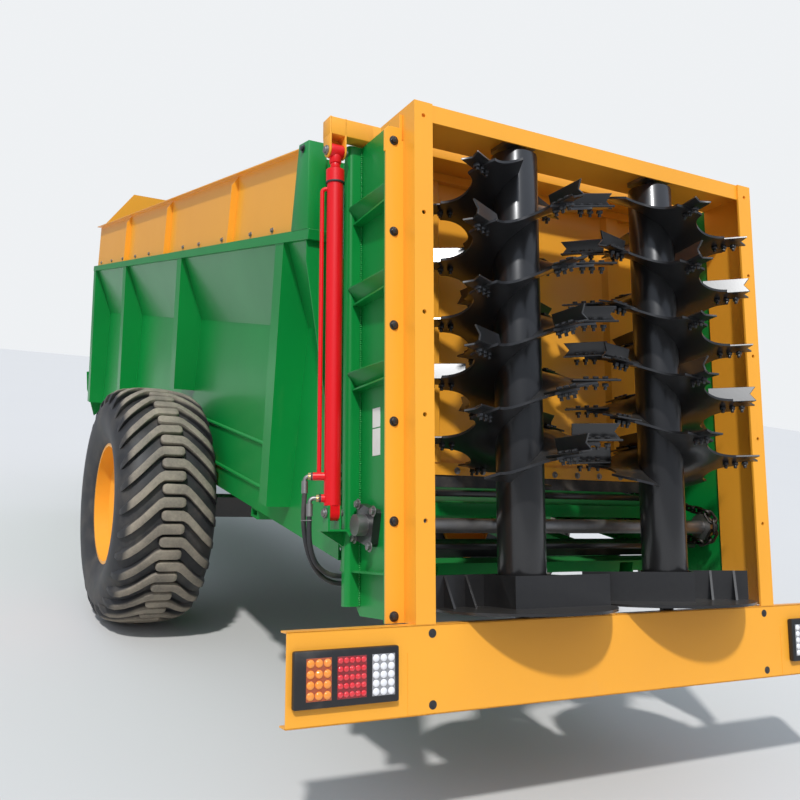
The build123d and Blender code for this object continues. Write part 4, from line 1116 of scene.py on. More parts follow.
    def blade_places(self, start: int) -> list[Matrix]:
        """Places of one flight's blades on its lobes.

        Args:
            start: The flight, 0 or 1.

        Returns:
            The places.
        """
        lean = math.degrees(math.atan(self.pitch / (math.tau * (self.blade_reach - self.blade_leg))))
        places = []
        for lobe in range(self.lobes):
            for rung in range(start - 8, 8, self.starts):
                height = self.crossing() + self.pitch * (lobe / self.lobes + rung / self.starts)
                if self.flight_low + self.blade_leg / 2 < height < self.flight_high - self.blade_margin:
                    lobe_turn = turn("Z", 180 + lobe * 360 / self.lobes)
                    places.append(up(height) @ lobe_turn @ turn("X", lean) @ up(self.flight_sheet / 2))
        return places

    def bolt(self) -> bpy.types.Object:
        """Hex bolt through a blade and its lobe, with a nut and thread end below.

        Returns:
            The bolt.
        """
        head = Bench.drum("head", 0.0105, 0.008, 6, 0.001, self.blade_sheet)
        nut = Bench.drum("nut", 0.0115, 0.011, 6, 0.001, -0.019)
        end = Bench.drum("end", 0.0058, 0.012, 12, 0.001, -0.030)
        return Bench.join("bolt", [head, nut, end])

    def build(self) -> None:
        """Builds and dresses the rotor."""
        word = "left" if self.side > 0 else "right"
        core_parts = [self.tube(), self.flights()]
        folded = self.blade_places(0)
        flat = self.blade_places(1)
        seats = [at(self.blade_reach - inset, -0.004, 0) for inset in self.bolt_insets]
        bolt_places = [place @ seat for place in folded + flat for seat in seats]
        bolts = Bench.spread(f"rotor_bolts_{word}", self.bolt(), bolt_places)
        folded_blades = Bench.spread("folded", self.folded_blade(), folded)
        flat_blades = Bench.spread("flat", self.flat_blade(), flat)
        blades = Bench.join(f"rotor_blades_{word}", [folded_blades, flat_blades])
        core = Bench.join(f"rotor_core_{word}", core_parts)
        for piece in (core, blades, bolts):
            Bench.smooth(Bench.place(piece, self.matrix()))
            self.wardrobe.finish_piece(piece, Tone.BLACK, f"rotor_{word}")
        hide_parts(f"rotor_{word}")


# Wheels


@dataclass
class Wheel:
    """Wide implement tyre with oblique lugs on a dished rim."""

    wardrobe: Wardrobe
    side: int
    centre_y: float = TYRE_Y
    radius: float = 0.57
    width: float = 0.45
    lug_height: float = 0.030
    lugs: int = 30
    bead_radius: float = 0.286
    bead_inset: float = 0.044
    rim_radius: float = 0.299

    def name(self, part: str) -> str:
        """Name of a part on this side."""
        return f"{part}_{'left' if self.side > 0 else 'right'}"

    def matrix(self) -> Matrix:
        """Turns the wheel's own frame, with its axis on Z and +Z outboard, to its place."""
        return at(HUB[0], self.side * self.centre_y, HUB[1]) @ outboard(self.side)

    def carcass(self) -> bpy.types.Object:
        """Tyre body below the lugs.

        Returns:
            The body, with its axis on Z.
        """
        half = self.width / 2
        base = self.radius - self.lug_height
        skin = [
            (self.bead_radius, half - self.bead_inset),
            (self.bead_radius + 0.012, half - self.bead_inset + 0.012),
            (self.bead_radius + 0.03, half - 0.026),
            (self.bead_radius + 0.07, half - 0.009),
            (self.bead_radius + 0.12, half),
            (self.radius - 0.125, half - 0.002),
            (self.radius - 0.095, half - 0.012),
            (base - 0.040, half - 0.032),
            (base - 0.020, half - 0.058),
            (base - 0.008, half - 0.092),
            (base - 0.002, half - 0.140),
            (base, 0),
        ]
        profile = skin + [(r, -z) for r, z in reversed(skin[:-1])]
        lip = half - self.bead_inset - 0.012
        wall = [(self.rim_radius, -lip), (self.rim_radius, lip)]
        return Bench.lathe("carcass", profile + wall, 128)

    def lug(self) -> bpy.types.Object:
        """One lug on the upper half of the tread: a bar on the crown, then oblique to the shoulder.

        Returns:
            The lug.
        """
        half = self.width / 2
        path = (
            (-0.052, 0.000, self.radius - 0.004, 0.020),
            (-0.045, 0.000, self.radius - 0.001, 0.036),
            (-0.034, 0.000, self.radius, 0.043),
            (0.044, 0.001, self.radius - 0.001, 0.043),
            (0.064, 0.012, self.radius - 0.002, 0.045),
            (0.102, 0.050, self.radius - 0.006, 0.046),
            (0.138, 0.088, self.radius - 0.013, 0.046),
            (0.170, 0.120, self.radius - 0.024, 0.045),
            (0.195, 0.146, self.radius - 0.042, 0.042),
            (0.209, 0.164, self.radius - 0.068, 0.036),
            (0.215, 0.174, self.radius - 0.096, 0.026),
        )
        points = []
        for z, shift, crest, breadth in path:
            foot = crest - self.lug_height - 0.008
            for offset, r, spread in ((-1, foot, 1.28), (-1, crest, 1.0), (1, crest, 1.0), (1, foot, 1.28)):
                angle = (offset * spread * breadth / 2 - self.side * shift) / self.radius
                drop = 0.010 if z > half - 0.03 and r == foot else 0.0
                points.append((r * math.cos(angle), r * math.sin(angle), z - drop))
        faces = [(0, 1, 2, 3)]
        last = 4 * (len(path) - 1)
        for i in range(len(path) - 1):
            a = 4 * i
            faces += [(a + k, a + 4 + k, a + 4 + (k + 1) % 4, a + (k + 1) % 4) for k in range(4)]
        faces.append((last + 3, last + 2, last + 1, last))
        return Bench.bevel(Bench.outward(Bench.mesh("lug", points, faces)), 0.0035)

    def tread(self) -> bpy.types.Object:
        """Lugs on both halves, half a pitch apart.

        Returns:
            The lugs as one object.
        """
        step = 360 / self.lugs
        places = []
        for index in range(self.lugs):
            places.append(turn("Z", index * step))
            places.append(turn("Z", (index + 0.5) * step) @ Matrix.Diagonal((1, 1, -1, 1)))
        return Bench.spread("tread", self.lug(), places)

    def build(self) -> None:
        """Builds and dresses the tyre."""
        tyre = Bench.join(self.name("tyre_tread"), [self.carcass(), self.tread()])
        Bench.smooth(Bench.place(tyre, self.matrix()))
        self.wardrobe.finish_piece(tyre, Tone.TYRE, self.name("wheel"))
        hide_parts(self.name("tyre"))


# Hoses


@dataclass(frozen=True)
class Hose:
    """Hydraulic hose that hangs from a port and goes back into the side plate."""

    name: str
    side: int
    length: float
    route: tuple
    radius: float = 0.008

    def build(self, wardrobe: Wardrobe) -> None:
        """Lays the hose along its route.

        Args:
            wardrobe: Where its finish comes from.
        """
        points = [LEAN @ Vector((u, self.side * v, w)) for u, v, w in self.route]
        data = bpy.data.curves.new(self.name, "CURVE")
        data.dimensions = "3D"
        data.bevel_depth = self.radius
        data.bevel_resolution = 6
        data.resolution_u = 16
        spline = data.splines.new("NURBS")
        spline.points.add(len(points) - 1)
        for control, point in zip(spline.points, points):
            control.co = (*point, 1.0)
        spline.order_u = 3
        spline.use_endpoint_u = True
        item = bpy.data.objects.new(self.name, data)
        bpy.context.scene.collection.objects.link(item)
        data.materials.append(wardrobe.get(Tone.RUBBER))
        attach(item, "body")
        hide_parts(self.name)


UPPER_ROUTE = (
    (0.379, 0.946, 0.388),
    (0.381, 0.949, 0.330),
    (0.385, 0.944, 0.262),
    (0.393, 0.925, 0.196),
    (0.405, 0.893, 0.143),
    (0.420, 0.848, 0.112),
    (0.430, 0.802, 0.099),
    (0.430, 0.7603, 0.099),
)
LOWER_ROUTE = (
    (0.362, 0.936, 0.315),
    (0.363, 0.937, 0.268),
    (0.368, 0.929, 0.215),
    (0.379, 0.908, 0.170),
    (0.393, 0.874, 0.143),
    (0.406, 0.838, 0.129),
    (0.415, 0.800, 0.124),
    (0.415, 0.7603, 0.124),
)
HOSES = tuple(
    Hose(f"hose_{level}_{word}", side, length, route)
    for level, length, route in (("upper", 0.404, UPPER_ROUTE), ("lower", 0.316, LOWER_ROUTE))
    for side, word in SIDE_WORDS
)


# Fasteners


@dataclass(frozen=True)
class Bolt:
    """Hexagon head on a washer, with its axis on Z and its seat at zero."""

    radius: float
    height: float
    washer: float = 1.45
    washer_height: float = 0.0025

    def model(self) -> bpy.types.Object:
        """Makes one bolt.

        Returns:
            The bolt.
        """
        ring = Bench.drum("washer", self.radius * self.washer, self.washer_height, 20, 0.0006)
        head = Bench.drum("head", self.radius, self.height, 6, self.radius * 0.12, self.washer_height)
        return Bench.join("bolt", [ring, head])


@dataclass(frozen=True)
class Nut:
    """Wheel nut with its cone and stud end, with its axis on Z and its seat at zero."""

    radius: float = 0.017
    height: float = 0.022
    stud: float = 0.010
    stud_height: float = 0.038

    def model(self) -> bpy.types.Object:
        """Makes one nut.

        Returns:
            The nut.
        """
        cone = Bench.drum("cone", self.radius * 1.15, 0.006, 24, 0.002)
        hexagon = Bench.drum("hexagon", self.radius, self.height, 6, 0.0022)
        stud = Bench.drum("stud", self.stud, self.stud_height, 16, 0.0015)
        return Bench.join("nut", [cone, hexagon, stud])


@dataclass
class Hardware:
    """Bolts and nuts of the whole machine."""

    wardrobe: Wardrobe
    flange_seat: tuple = (0.072, 0.788)
    flange_w: tuple = (1.488, 1.190, 0.892, 0.595, 0.296, 0.020)
    casing_seat: tuple = (0.524, 0.908, 1.612)
    bearing_seat: tuple = (0.090, 0.311, 1.580)
    plug_v: float = 0.700
    plug_w: tuple = (-0.026, -0.226)
    board_seat: tuple = (0.876, 1.862)
    board_x: tuple = (-2.10, -1.84, -1.44, -1.06, -0.76, -0.38, 0.02, 0.40, 0.80, 1.18, 1.58)
    bearing_half: float = 0.045
    shaft_bearing_y: float = 0.786
    shaft_bearing_half: float = 0.056
    flap_seat: tuple = (0.444, 0.486)
    flap_pitch: float = 0.110
    flap_bolts_each_way: int = 6
    hub_face_y: float = 1.070
    nut_circle: float = 0.137
    nuts: int = 10

    def fit(self, name: str, body: str, tone: Tone, kind: Bolt | Nut, places: Sequence[Matrix]) -> None:
        """Copies one fastener to its places.

        Args:
            name: Name of the piece.
            body: Body that it rides on.
            tone: Its finish.
            kind: The fastener.
            places: Where each one sits, with +Z away from the seat.
        """
        self.wardrobe.set_out(name, kind.model(), places, tone, body, 30)

    @staticmethod
    def square(half: float) -> list[tuple]:
        """Four corners round a centre."""
        return [(a, b) for a in (-half, half) for b in (-half, half)]

    def frame_bolts(self) -> None:
        """Dark bolts on the rotor frame's flanges, the corner casings and the top bearings."""
        places = []
        flange_u, flange_v = self.flange_seat
        casing_u, casing_v, casing_w = self.casing_seat
        u, v, w = self.bearing_seat
        for side in SIDES:
            places += [lean_at(flange_u, side * flange_v, level) @ REARWARD for level in self.flange_w]
            places.append(lean_at(casing_u, side * casing_v, casing_w) @ outboard(side))
            places += [lean_at(u + du, side * v + dv, w) for du, dv in self.square(self.bearing_half)]
        self.fit("frame_bolts", "body", Tone.BLACK, Bolt(0.0105, 0.008), places)

    def beam_plugs(self) -> None:
        """Dark sunk bolts of the rear beam."""
        places = [lean_at(0, side * self.plug_v, w) @ REARWARD for side in SIDES for w in self.plug_w]
        plug = Bolt(0.0062, 0.0012, washer=2.1, washer_height=0.0012)
        self.fit("beam_plugs", "body", Tone.RUBBER, plug, places)

    def bearing_bolts(self) -> None:
        """Bolts of the conveyor bearings."""
        x, z = CONVEYOR_SHAFT
        places = []
        for side in SIDES:
            for dx, dz in self.square(self.shaft_bearing_half):
                places.append(at(x + dx, side * self.shaft_bearing_y, z + dz) @ outboard(side))
        self.fit("bearing_bolts", "body", Tone.STEEL, Bolt(0.012, 0.010), places)

    def board_bolts(self) -> None:
        """Bolts along the lower edges of the yellow boards."""
        y, z = self.board_seat
        places = [at(x, side * y, z) @ outboard(side) for side in SIDES for x in self.board_x]
        self.fit("board_bolts", "body", Tone.STEEL, Bolt(0.008, 0.006), places)

    def door_bolts(self) -> None:
        """Bolts of the strip that holds the flap."""
        u, w = self.flap_seat
        count = self.flap_bolts_each_way
        places = [lean_at(u, i * self.flap_pitch, w) @ REARWARD for i in range(-count, count + 1)]
        self.fit("door_bolts", "door", Tone.STEEL, Bolt(0.0085, 0.007), places)

    def wheel_nuts(self) -> None:
        """Nuts round each hub."""
        for side, word in SIDE_WORDS:
            centre = at(HUB[0], side * self.hub_face_y, HUB[1]) @ outboard(side)
            turns = [turn("Z", 360 * i / self.nuts) for i in range(self.nuts)]
            places = [centre @ step @ at(self.nut_circle, 0, 0) for step in turns]
            self.fit(f"wheel_nuts_{word}", f"wheel_{word}", Tone.STEEL, Nut(), places)

    def drawbar_bolts(self) -> None:
        """Bolts of the towing eye's flange and of the input bearing."""
        places = [at(3.320, y, z) @ FORWARD for y in (-0.062, 0.062) for z in (0.648, 0.712)]
        places += [at(x, y, 0.746) for x in (2.80, 2.89) for y in (-0.085, 0.085)]
        self.fit("drawbar_bolts", "body", Tone.STEEL, Bolt(0.013, 0.011), places)

    def build(self) -> None:
        """Fits everything."""
        self.frame_bolts()
        self.beam_plugs()
        self.bearing_bolts()
        self.board_bolts()
        self.door_bolts()
        self.wheel_nuts()
        self.drawbar_bolts()


# Lamps


@dataclass(frozen=True)
class LampField:
    """One colour of a rear lamp."""

    word: str
    tone: Tone
    pip: Tone
    columns: int
    rows: int
    inner: float
    outer: float


LAMP_FIELDS = (
    LampField("amber", Tone.AMBER, Tone.AMBER_PIP, 3, 4, 1.028, 1.102),
    LampField("red", Tone.CRIMSON, Tone.CRIMSON_PIP, 5, 5, 0.923, 1.011),
    LampField("white", Tone.WHITE, Tone.WHITE_PIP, 3, 5, 0.835, 0.906),
)


@dataclass
class RearBeam:
    """Folded light beam with its two lamps."""

    wardrobe: Wardrobe
    half: float = 1.150
    height: float = 0.253
    flange: float = 0.045
    sheet: float = 0.006
    seam_v: float = 0.782
    lamp_v: float = 0.978
    lamp_size: tuple = (0.022, 0.316, 0.152)
    field_height: float = 0.112
    dome_share: float = 0.47

    def middle(self) -> float:
        """Height of the beam's middle."""
        return -self.height / 2

    def field(self, field: LampField) -> None:
        """Makes one colour's panels and domes.

        Args:
            field: The colour and its place.
        """
        face = -self.lamp_size[0]
        breadth = field.outer - field.inner
        wide = breadth / field.columns
        tall = self.field_height / field.rows
        size = min(wide, tall) * self.dome_share
        Bench.clear()
        bpy.ops.mesh.primitive_uv_sphere_add(segments=16, ring_count=8, radius=1.0)
        dome = bpy.context.object
        panels = []
        places = []
        for side in SIDES:
            spot = lean_at(face, side * (field.inner + field.outer) / 2, self.middle())
            panels.append(Bench.block("panel", (0.002, breadth, self.field_height), spot, 0.0006))
            for i in range(field.columns):
                for j in range(field.rows):
                    v = side * (field.inner + (i + 0.5) * wide)
                    w = self.middle() + (j + 0.5) * tall - self.field_height / 2
                    places.append(lean_at(face - 0.001, v, w) @ Matrix.Diagonal((size * 0.5, size, size, 1)))
        panel = Bench.join(f"{field.word}_panels", panels)
        self.wardrobe.finish_piece(panel, field.tone, "body")
        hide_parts(f"lamp_{field.word}")
        self.wardrobe.set_out(f"{field.word}_domes", dome, places, field.pip)

    def sheets(self) -> None:
        """Face, folds and seams of the beam."""
        breadth = 2 * self.half
        half_sheet = self.sheet / 2
        spot = lean_at(half_sheet, 0, self.middle())
        parts = [Bench.block("face", (self.sheet, breadth, self.height), spot, 0.0015)]
        for w in (-half_sheet, half_sheet - self.height):
            spot = lean_at(self.flange / 2, 0, w)
            parts.append(Bench.block("fold", (self.flange, breadth, self.sheet), spot, 0.0015))
        for side in SIDES:
            spot = lean_at(-0.0005, side * self.seam_v, self.middle() - 0.035)
            parts.append(Bench.block("seam", (0.002, 0.003, 0.17), spot, 0.0008))
        beam = Bench.join("rear_beam_sheets", parts)
        self.wardrobe.finish_piece(beam, Tone.YELLOW, "body")
        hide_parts("rear_beam")

    def cases(self) -> None:
        """Dark cases of both lamps."""
        cases = []
        for side in SIDES:
            spot = lean_at(-self.lamp_size[0] / 2, side * self.lamp_v, self.middle())
            cases.append(Bench.block("case", self.lamp_size, spot, 0.006))
        housing = Bench.join("lamp_cases", cases)
        self.wardrobe.finish_piece(Bench.smooth(housing), Tone.HOUSING, "body")
        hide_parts("lamp_housings")

    def build(self) -> None:
        """Builds and dresses the beam and the lamps."""
        self.sheets()
        self.cases()
        for field in LAMP_FIELDS:
            self.field(field)


# Conveyor


@dataclass
class Conveyor:
    """Two round link chains with slats between them."""

    wardrobe: Wardrobe
    rear_x: float = CONVEYOR_SHAFT[0]
    front_x: float = 1.615
    height: float = CONVEYOR_SHAFT[1]
    radius: float = 0.060
    chain_y: float = 0.700
    wire: float = 0.0058
    wire_sides: int = 6
    link_length: float = 0.058
    link_width: float = 0.0135
    link_steps: int = 6
    slat_pitch: float = 0.350
    slat_height: float = 0.020
    slat_width: float = 0.044
    slat_rise: float = 0.078
    first_upper: float = 0.185
    first_lower: float = 0.041
    tube_size: tuple = (0.050, 1.44, 0.058)
    tube_place: tuple = (-2.75, 0.0, 0.761)

    def run(self) -> float:
        """Distance between the shafts."""
        return self.front_x - self.rear_x

    def place(self, along: float) -> Matrix:
        """Place on the loop, with X along it and Z outwards.

        Args:
            along: Distance from the rear end of the upper run.

        Returns:
            The place.
        """
        run = self.run()
        arc = math.pi * self.radius
        if along < run:
            return at(self.rear_x + along, 0, self.height + self.radius)
        if along < run + arc:
            angle = math.degrees((along - run) / self.radius)
            return at(self.front_x, 0, self.height) @ turn("Y", angle) @ up(self.radius)
        if along < 2 * run + arc:
            return at(self.front_x - (along - run - arc), 0, self.height - self.radius) @ turn("Y", 180)
        angle = 180 + math.degrees((along - 2 * run - arc) / self.radius)
        return at(self.rear_x, 0, self.height) @ turn("Y", angle) @ up(self.radius)

    def link(self) -> bpy.types.Object:
        """One round link lying along X.

        Returns:
            The link.
        """
        reach = self.link_length / 2 - self.link_width
        points = []
        for end in (1, -1):
            for step in range(self.link_steps):
                angle = math.pi * (step / (self.link_steps - 1) - end / 2)
                for wire_step in range(self.wire_sides):
                    bend = math.tau * wire_step / self.wire_sides
                    out = self.link_width + self.wire * math.cos(bend)
                    rise = self.wire * math.sin(bend)
                    points.append((end * reach + out * math.cos(angle), out * math.sin(angle), rise))
        sides = self.wire_sides
        count = 2 * self.link_steps
        faces = []
        for i in range(count):
            low = sides * i
            high = sides * ((i + 1) % count)
            for k in range(sides):
                after = (k + 1) % sides
                faces.append((low + k, high + k, high + after, low + after))
        return Bench.outward(Bench.mesh("link", points, faces))

    def chains(self) -> None:
        """Both chains."""
        total = 2 * (self.run() + math.pi * self.radius)
        pitch = self.link_length - 3.2 * self.wire
        count = int(total / pitch / 2) * 2
        places = []
        for side in SIDES:
            for index in range(count):
                spot = self.place(index * total / count)
                places.append(at(0, side * self.chain_y, 0) @ spot @ turn("X", 45 + 90 * (index % 2)))
        chains = self.wardrobe.set_out("chain_links", self.link(), places, Tone.OILY, degrees=60)
        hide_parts("conveyor_chains")

    def slats(self) -> None:
        """Slats of the upper and the lower run."""
        slat = Bench.block("slat", (self.slat_width, 2 * self.chain_y, self.slat_height), at(0, 0, 0), 0.003)
        places = []
        for first, z in ((self.first_upper, self.slat_rise), (self.first_lower, -self.slat_rise)):
            for step in range(math.ceil((self.run() - first) / self.slat_pitch)):
                places.append(at(self.rear_x + first + step * self.slat_pitch, 0, self.height + z))
        self.wardrobe.set_out("conveyor_slats", slat, places, Tone.BLACK)

    def cross_tube(self) -> None:
        """Box tube across the chassis rails, under the rear end of the conveyor."""
        tube = Bench.block("conveyor_tube", self.tube_size, at(*self.tube_place), 0.005)
        self.wardrobe.finish_piece(Bench.smooth(tube), Tone.HOUSING, "body")

    def build(self) -> None:
        """Builds the chains, the slats and the tube under them."""
        self.chains()
        self.slats()
        self.cross_tube()


# Lift cylinders


@dataclass
class LiftCylinders:
    """Hose ties, port seals, pins, rod sleeves and gland seals of both cylinders."""

    wardrobe: Wardrobe
    u: float = 0.338
    v: float = 0.868
    lower_pin_w: float = 0.326
    upper_pin_w: float = 1.536
    lower_pin_out: float = 0.0228
    upper_pin_out: float = 0.0305
    gland_w: float = 1.4225
    sleeve_w: float = 1.477
    eye_length: float = 0.047
    seal_height: float = 0.004
    ports: tuple = ((0.443, 0.0635, 27.7), (0.373, 0.0375, 19.5))
    tie_place: tuple = (0.3728, 0.9415, 0.303)
    tie_size: tuple = (0.0208, 0.0098, 0.014)
    tie_turn: float = 28.811

    def spot(self, side: int, w: float, out: float = 0.0) -> Matrix:
        """Place on or beside a cylinder's axis."""
        return lean_at(self.u, side * self.v + out, w)

    def hose_ties(self) -> None:
        """Bright bands round each pair of hoses."""
        Bench.clear()
        bpy.ops.mesh.primitive_torus_add(minor_radius=0.12, major_segments=32, minor_segments=8)
        band = bpy.context.object
        u, v, w = self.tie_place
        stretch = Matrix.Diagonal((*self.tie_size, 1))
        places = [lean_at(u, side * v, w) @ turn("Z", side * self.tie_turn) @ stretch for side in SIDES]
        self.wardrobe.set_out("hose_ties", band, places, Tone.STEEL, degrees=60)

    def port_rings(self) -> None:
        """Black seals and brass hexagons on the ports."""
        seats = [
            self.spot(side, w) @ turn("Z", side * (90 - angle)) @ FORWARD @ up(reach)
            for side in SIDES
            for w, reach, angle in self.ports
        ]
        seal = Bench.drum("seal", 0.0138, self.seal_height, 24, 0.001)
        self.wardrobe.set_out("port_seals", seal, seats, Tone.RUBBER)
        nut = Bench.drum("hexagon", 0.0126, 0.010, 6, 0.001, self.seal_height)
        self.wardrobe.set_out("port_nuts", nut, seats, Tone.BRASS, degrees=30)

    def pins(self, name: str, body: str, w: float, out: float) -> None:
        """Collars and ends of the pins at one end of the cylinders.

        Args:
            name: Name of the piece.
            body: Body that it rides on.
            w: Height of the pins.
            out: Distance of the collars from the cylinder's middle.
        """
        head = Bench.drum("head", 0.0165, 0.006, 28, 0.0012)
        end = Bench.drum("end", 0.0115, 0.012, 24, 0.0015)
        places = [self.spot(side, w, way * out) @ outboard(way) for side in SIDES for way in (-1, 1)]
        self.wardrobe.set_out(name, Bench.join("pin", [head, end]), places, Tone.STEEL, body)

    def rod_sleeves(self) -> None:
        """Red neck, sleeve and eye at the upper end of each rod."""
        parts = []
        for side in SIDES:
            base = self.spot(side, self.sleeve_w)
            eye_spot = self.spot(side, self.upper_pin_w, -self.eye_length / 2) @ outboard(1)
            parts.append(Bench.place(Bench.drum("neck", 0.0165, 0.018, 32, 0.001), base))
            parts.append(Bench.place(Bench.drum("eye", 0.0255, self.eye_length, 40, 0.003), eye_spot))
            parts.append(Bench.place(Bench.drum("sleeve", 0.0205, 0.042, 40, 0.003, 0.017), base))
        self.wardrobe.finish_piece(Bench.smooth(Bench.join("rod_sleeves", parts)), Tone.RED, "door")

    def gland_rings(self) -> None:
        """Black seals under the cylinder heads."""
        ring = Bench.drum("ring", 0.0318, 0.006, 40, 0.0015)
        places = [self.spot(side, self.gland_w) for side in SIDES]
        self.wardrobe.set_out("gland_rings", ring, places, Tone.RUBBER)

    def build(self) -> None:
        """Builds everything on the cylinders."""
        self.hose_ties()
        self.port_rings()
        self.pins("lower_pins", "body", self.lower_pin_w, self.lower_pin_out)
        self.pins("upper_pins", "door", self.upper_pin_w, self.upper_pin_out)
        self.rod_sleeves()
        self.gland_rings()


# Jack


@dataclass
class Jack:
    """Gear head on the jack's sleeve, with its crank."""

    wardrobe: Wardrobe
    x: float = 2.62
    y: float = 0.36
    head_z: float = 0.988
    head_size: tuple = (0.100, 0.100, 0.044)
    skirt_z: float = 0.957
    skirt_size: tuple = (0.0045, 0.099, 0.030)
    skirt_out: float = 0.0475
    boss_y: float = 0.409
    arm_size: tuple = (0.15, 0.008, 0.026)
    arm_place: tuple = (2.685, 0.448, 0.985)
    grip_place: tuple = (2.745, 0.452, 0.985)

    def build(self) -> None:
        """Builds and dresses the head, the arm and the grip."""
        parts = [Bench.block("head", self.head_size, at(self.x, self.y, self.head_z), 0.006)]
        boss = Bench.drum("boss", 0.016, 0.04, 24, 0.002)
        parts.append(Bench.place(boss, at(self.x, self.boss_y, self.head_z) @ outboard(1)))
        parts.append(Bench.block("arm", self.arm_size, at(*self.arm_place), 0.003))
        for quarter in range(4):
            spot = at(self.x, self.y, self.skirt_z) @ turn("Z", 90 * quarter) @ at(self.skirt_out, 0, 0)
            parts.append(Bench.block("skirt", self.skirt_size, spot, 0.0015))
        self.wardrobe.finish_piece(Bench.smooth(Bench.join("jack_head", parts)), Tone.BLACK, "body")
        grip = Bench.drum("jack_grip", 0.014, 0.09, 24, 0.004)
        Bench.smooth(Bench.place(grip, at(*self.grip_place) @ outboard(1)))
        self.wardrobe.finish_piece(grip, Tone.HOUSING, "body")


# Rear frame


@dataclass
class DoorBeam:
    """Beam over the door, narrow at its ends, with round-ended clevis plates."""

    wardrobe: Wardrobe
    w: float = 1.619
    beam_u: float = 0.390
    beam_size: tuple = (0.152, 1.48, 0.062)
    arm_spot: tuple = (0.344, 0.8175)
    arm_size: tuple = (0.060, 0.165, 0.062)
    back_spot: tuple = (0.368, 0.868, 1.564)
    back_size: tuple = (0.006, 0.050, 0.056)
    pin: tuple = (0.338, 1.536)
    pin_round: float = 0.024
    cheek_sheet: float = 0.006
    cheek_v: tuple = (0.8375, 0.8925)

    def cheek_outline(self) -> list[tuple]:
        """Side view of a clevis plate, as u and w.

        Returns:
            Its corners.
        """
        u, w = self.pin
        r = self.pin_round
        angles = [math.radians(a) for a in range(15, 180, 15)]
        lower = [(u - r * math.cos(a), w - r * math.sin(a)) for a in angles]
        return [(0.374, 1.650), (u - r, 1.650), (u - r, w), *lower, (u + r, w), (0.374, 1.588)]

    def build(self) -> None:
        """Builds and dresses the beam."""
        parts = [Bench.block("beam", self.beam_size, lean_at(self.beam_u, 0, self.w), 0.004)]
        arm_u, arm_v = self.arm_spot
        back_u, back_v, back_w = self.back_spot
        for side in SIDES:
            parts.append(Bench.block("arm", self.arm_size, lean_at(arm_u, side * arm_v, self.w), 0.004))
            parts.append(Bench.block("back", self.back_size, lean_at(back_u, side * back_v, back_w), 0.001))
            for low in self.cheek_v:
                v = low if side > 0 else -low - self.cheek_sheet
                outline = [(u, v, w) for u, w in self.cheek_outline()]
                parts.append(Bench.prism("cheek", outline, (0, self.cheek_sheet, 0), 0.001))
        beam = Bench.join("door_beam_new", parts)
        self.wardrobe.finish_piece(Bench.smooth(beam), Tone.YELLOW, "door")
        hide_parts("door_beam")


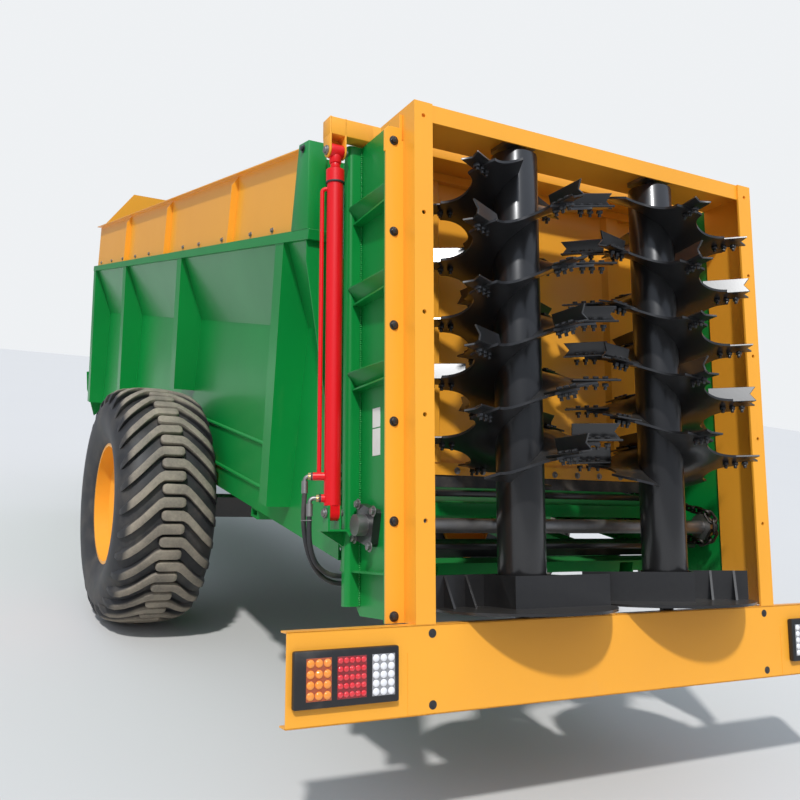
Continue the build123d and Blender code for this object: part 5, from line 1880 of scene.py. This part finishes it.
@dataclass
class SidePlates:
    """Blank plates, flange tops, gusset lips and welds of the rear side plates."""

    wardrobe: Wardrobe
    plate_v: float = 0.7608
    sign_u: float = 0.240
    sign_width: float = 0.052
    sign_sheet: float = 0.0012
    sign_rows: tuple = ((0.628, 0.062), (0.550, 0.086))
    flange_top: tuple = ((0.757, 1.450), (0.819, 1.450), (0.819, 1.522), (0.805, 1.536), (0.757, 1.536))
    cover: tuple = ((0.0775, 1.500), (0.0775, 1.584), (0.150, 1.584), (0.110, 1.500))
    gusset_w: tuple = (0.728, 1.016, 1.296)
    lip: tuple = ((0.7605, 0.0), (0.764, 0.0), (0.809, 0.056), (0.809, 0.060), (0.7605, 0.060))
    lip_length: float = 0.270
    bead_low: tuple = (0.3535, 0.7622, 0.035)
    bead_radius: float = 0.0042
    bead_pitch: float = 0.0073
    bead_ripple: float = 0.0012
    beads: int = 210

    def signs(self) -> None:
        """Blank plates."""
        plates = [
            Bench.block("plate", (self.sign_width, self.sign_sheet, tall), lean_at(self.sign_u, v, w))
            for v in (self.plate_v, -self.plate_v)
            for w, tall in self.sign_rows
        ]
        self.wardrobe.finish_piece(Bench.join("blank_signs", plates), Tone.SIGN, "body")

    def flange_tops(self) -> None:
        """Upper ends of the yellow bolt flanges, with one corner cut off."""
        tops = []
        for side in SIDES:
            top = [(0.0745, side * v, w) for v, w in self.flange_top]
            cover = [(u, side * 0.754, w) for u, w in self.cover]
            tops.append(Bench.prism("top", top, (0.008, 0, 0), 0.0012))
            tops.append(Bench.prism("cover", cover, (0, side * 0.0095, 0), 0.0008))
        self.wardrobe.finish_piece(Bench.join("flange_tops", tops), Tone.YELLOW, "body")

    def gusset_lips(self) -> None:
        """Sloping lips of the gussets."""
        lips = []
        for side in SIDES:
            for w in self.gusset_w:
                outline = [(0.087, side * v, w + rise) for v, rise in self.lip]
                lips.append(Bench.prism("lip", outline, (self.lip_length, 0, 0), 0.0015))
        self.wardrobe.finish_piece(Bench.join("gusset_lips", lips), Tone.GREEN, "body")

    def welds(self) -> None:
        """Rippled weld beads along the corner posts."""
        Bench.clear()
        bpy.ops.mesh.primitive_uv_sphere_add(segments=8, ring_count=5, radius=self.bead_radius)
        bead = bpy.context.object
        u, v, w = self.bead_low
        places = []
        for side in SIDES:
            for index in range(self.beads):
                ripple = self.bead_ripple * math.sin(index * 2.3)
                spot = lean_at(u + ripple, side * v, w + index * self.bead_pitch)
                places.append(spot @ turn("X", 35 * side))
        self.wardrobe.set_out("post_welds", bead, places, Tone.GREEN, degrees=80)

    def build(self) -> None:
        """Builds everything on the side plates."""
        self.signs()
        self.flange_tops()
        self.gusset_lips()
        self.welds()


@dataclass
class Corners:
    """Casings at the rear ends of the boards, and the plates that close the corners below."""

    wardrobe: Wardrobe
    case: tuple = ((0.476, 1.304), (0.476, 1.627), (0.566, 1.642), (0.633, 1.341))
    case_inner: float = 0.838
    case_width: float = 0.070
    wall: tuple = (
        (0.7605, 1.580),
        (0.868, 1.580),
        (0.868, 1.285),
        (0.902, 1.285),
        (0.902, 1.200),
        (0.790, 0.50),
        (0.7605, 0.50),
    )
    wall_u: float = 0.500
    wall_sheet: float = 0.004
    rail_size: tuple = (0.170, 0.072, 0.037)
    rail_place: tuple = (-2.467, 0.870, 1.818)

    def build(self) -> None:
        """Builds and dresses casings, plates and rail ends."""
        cases = []
        walls = []
        x, y, z = self.rail_place
        for side in SIDES:
            v = self.case_inner if side > 0 else -self.case_inner - self.case_width
            case = [(u, v, w) for u, w in self.case]
            wall = [(self.wall_u, side * v, w) for v, w in self.wall]
            cases.append(Bench.prism("case", case, (0, self.case_width, 0), 0.003))
            walls.append(Bench.prism("wall", wall, (self.wall_sheet, 0, 0), 0.001))
            walls.append(Bench.block("rail", self.rail_size, at(x, side * y, z), 0.002))
        piece = Bench.join("corner_cases", cases)
        self.wardrobe.finish_piece(Bench.smooth(piece), Tone.GREEN, "body")
        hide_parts("corner_casings")
        self.wardrobe.finish_piece(Bench.join("corner_walls", walls), Tone.GREEN, "body")


# Whole scene


def main() -> None:
    """Builds the scene."""
    logging.basicConfig(level=logging.INFO, format="%(name)s: %(message)s")
    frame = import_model()
    Viewpoint().build()
    wardrobe = Wardrobe(frame["record"])
    for hose in HOSES:
        hose.build(wardrobe)
    Studio().build()
    for name, item in frame["nodes"].items():
        wardrobe.dress_node(name, item)
    for side in SIDES:
        Rotor(wardrobe, side).build()
        Wheel(wardrobe, side).build()
    for group in (Hardware, RearBeam, Conveyor, LiftCylinders, Jack, DoorBeam, SidePlates, Corners):
        group(wardrobe).build()


if __name__ == "__main__":
    main()
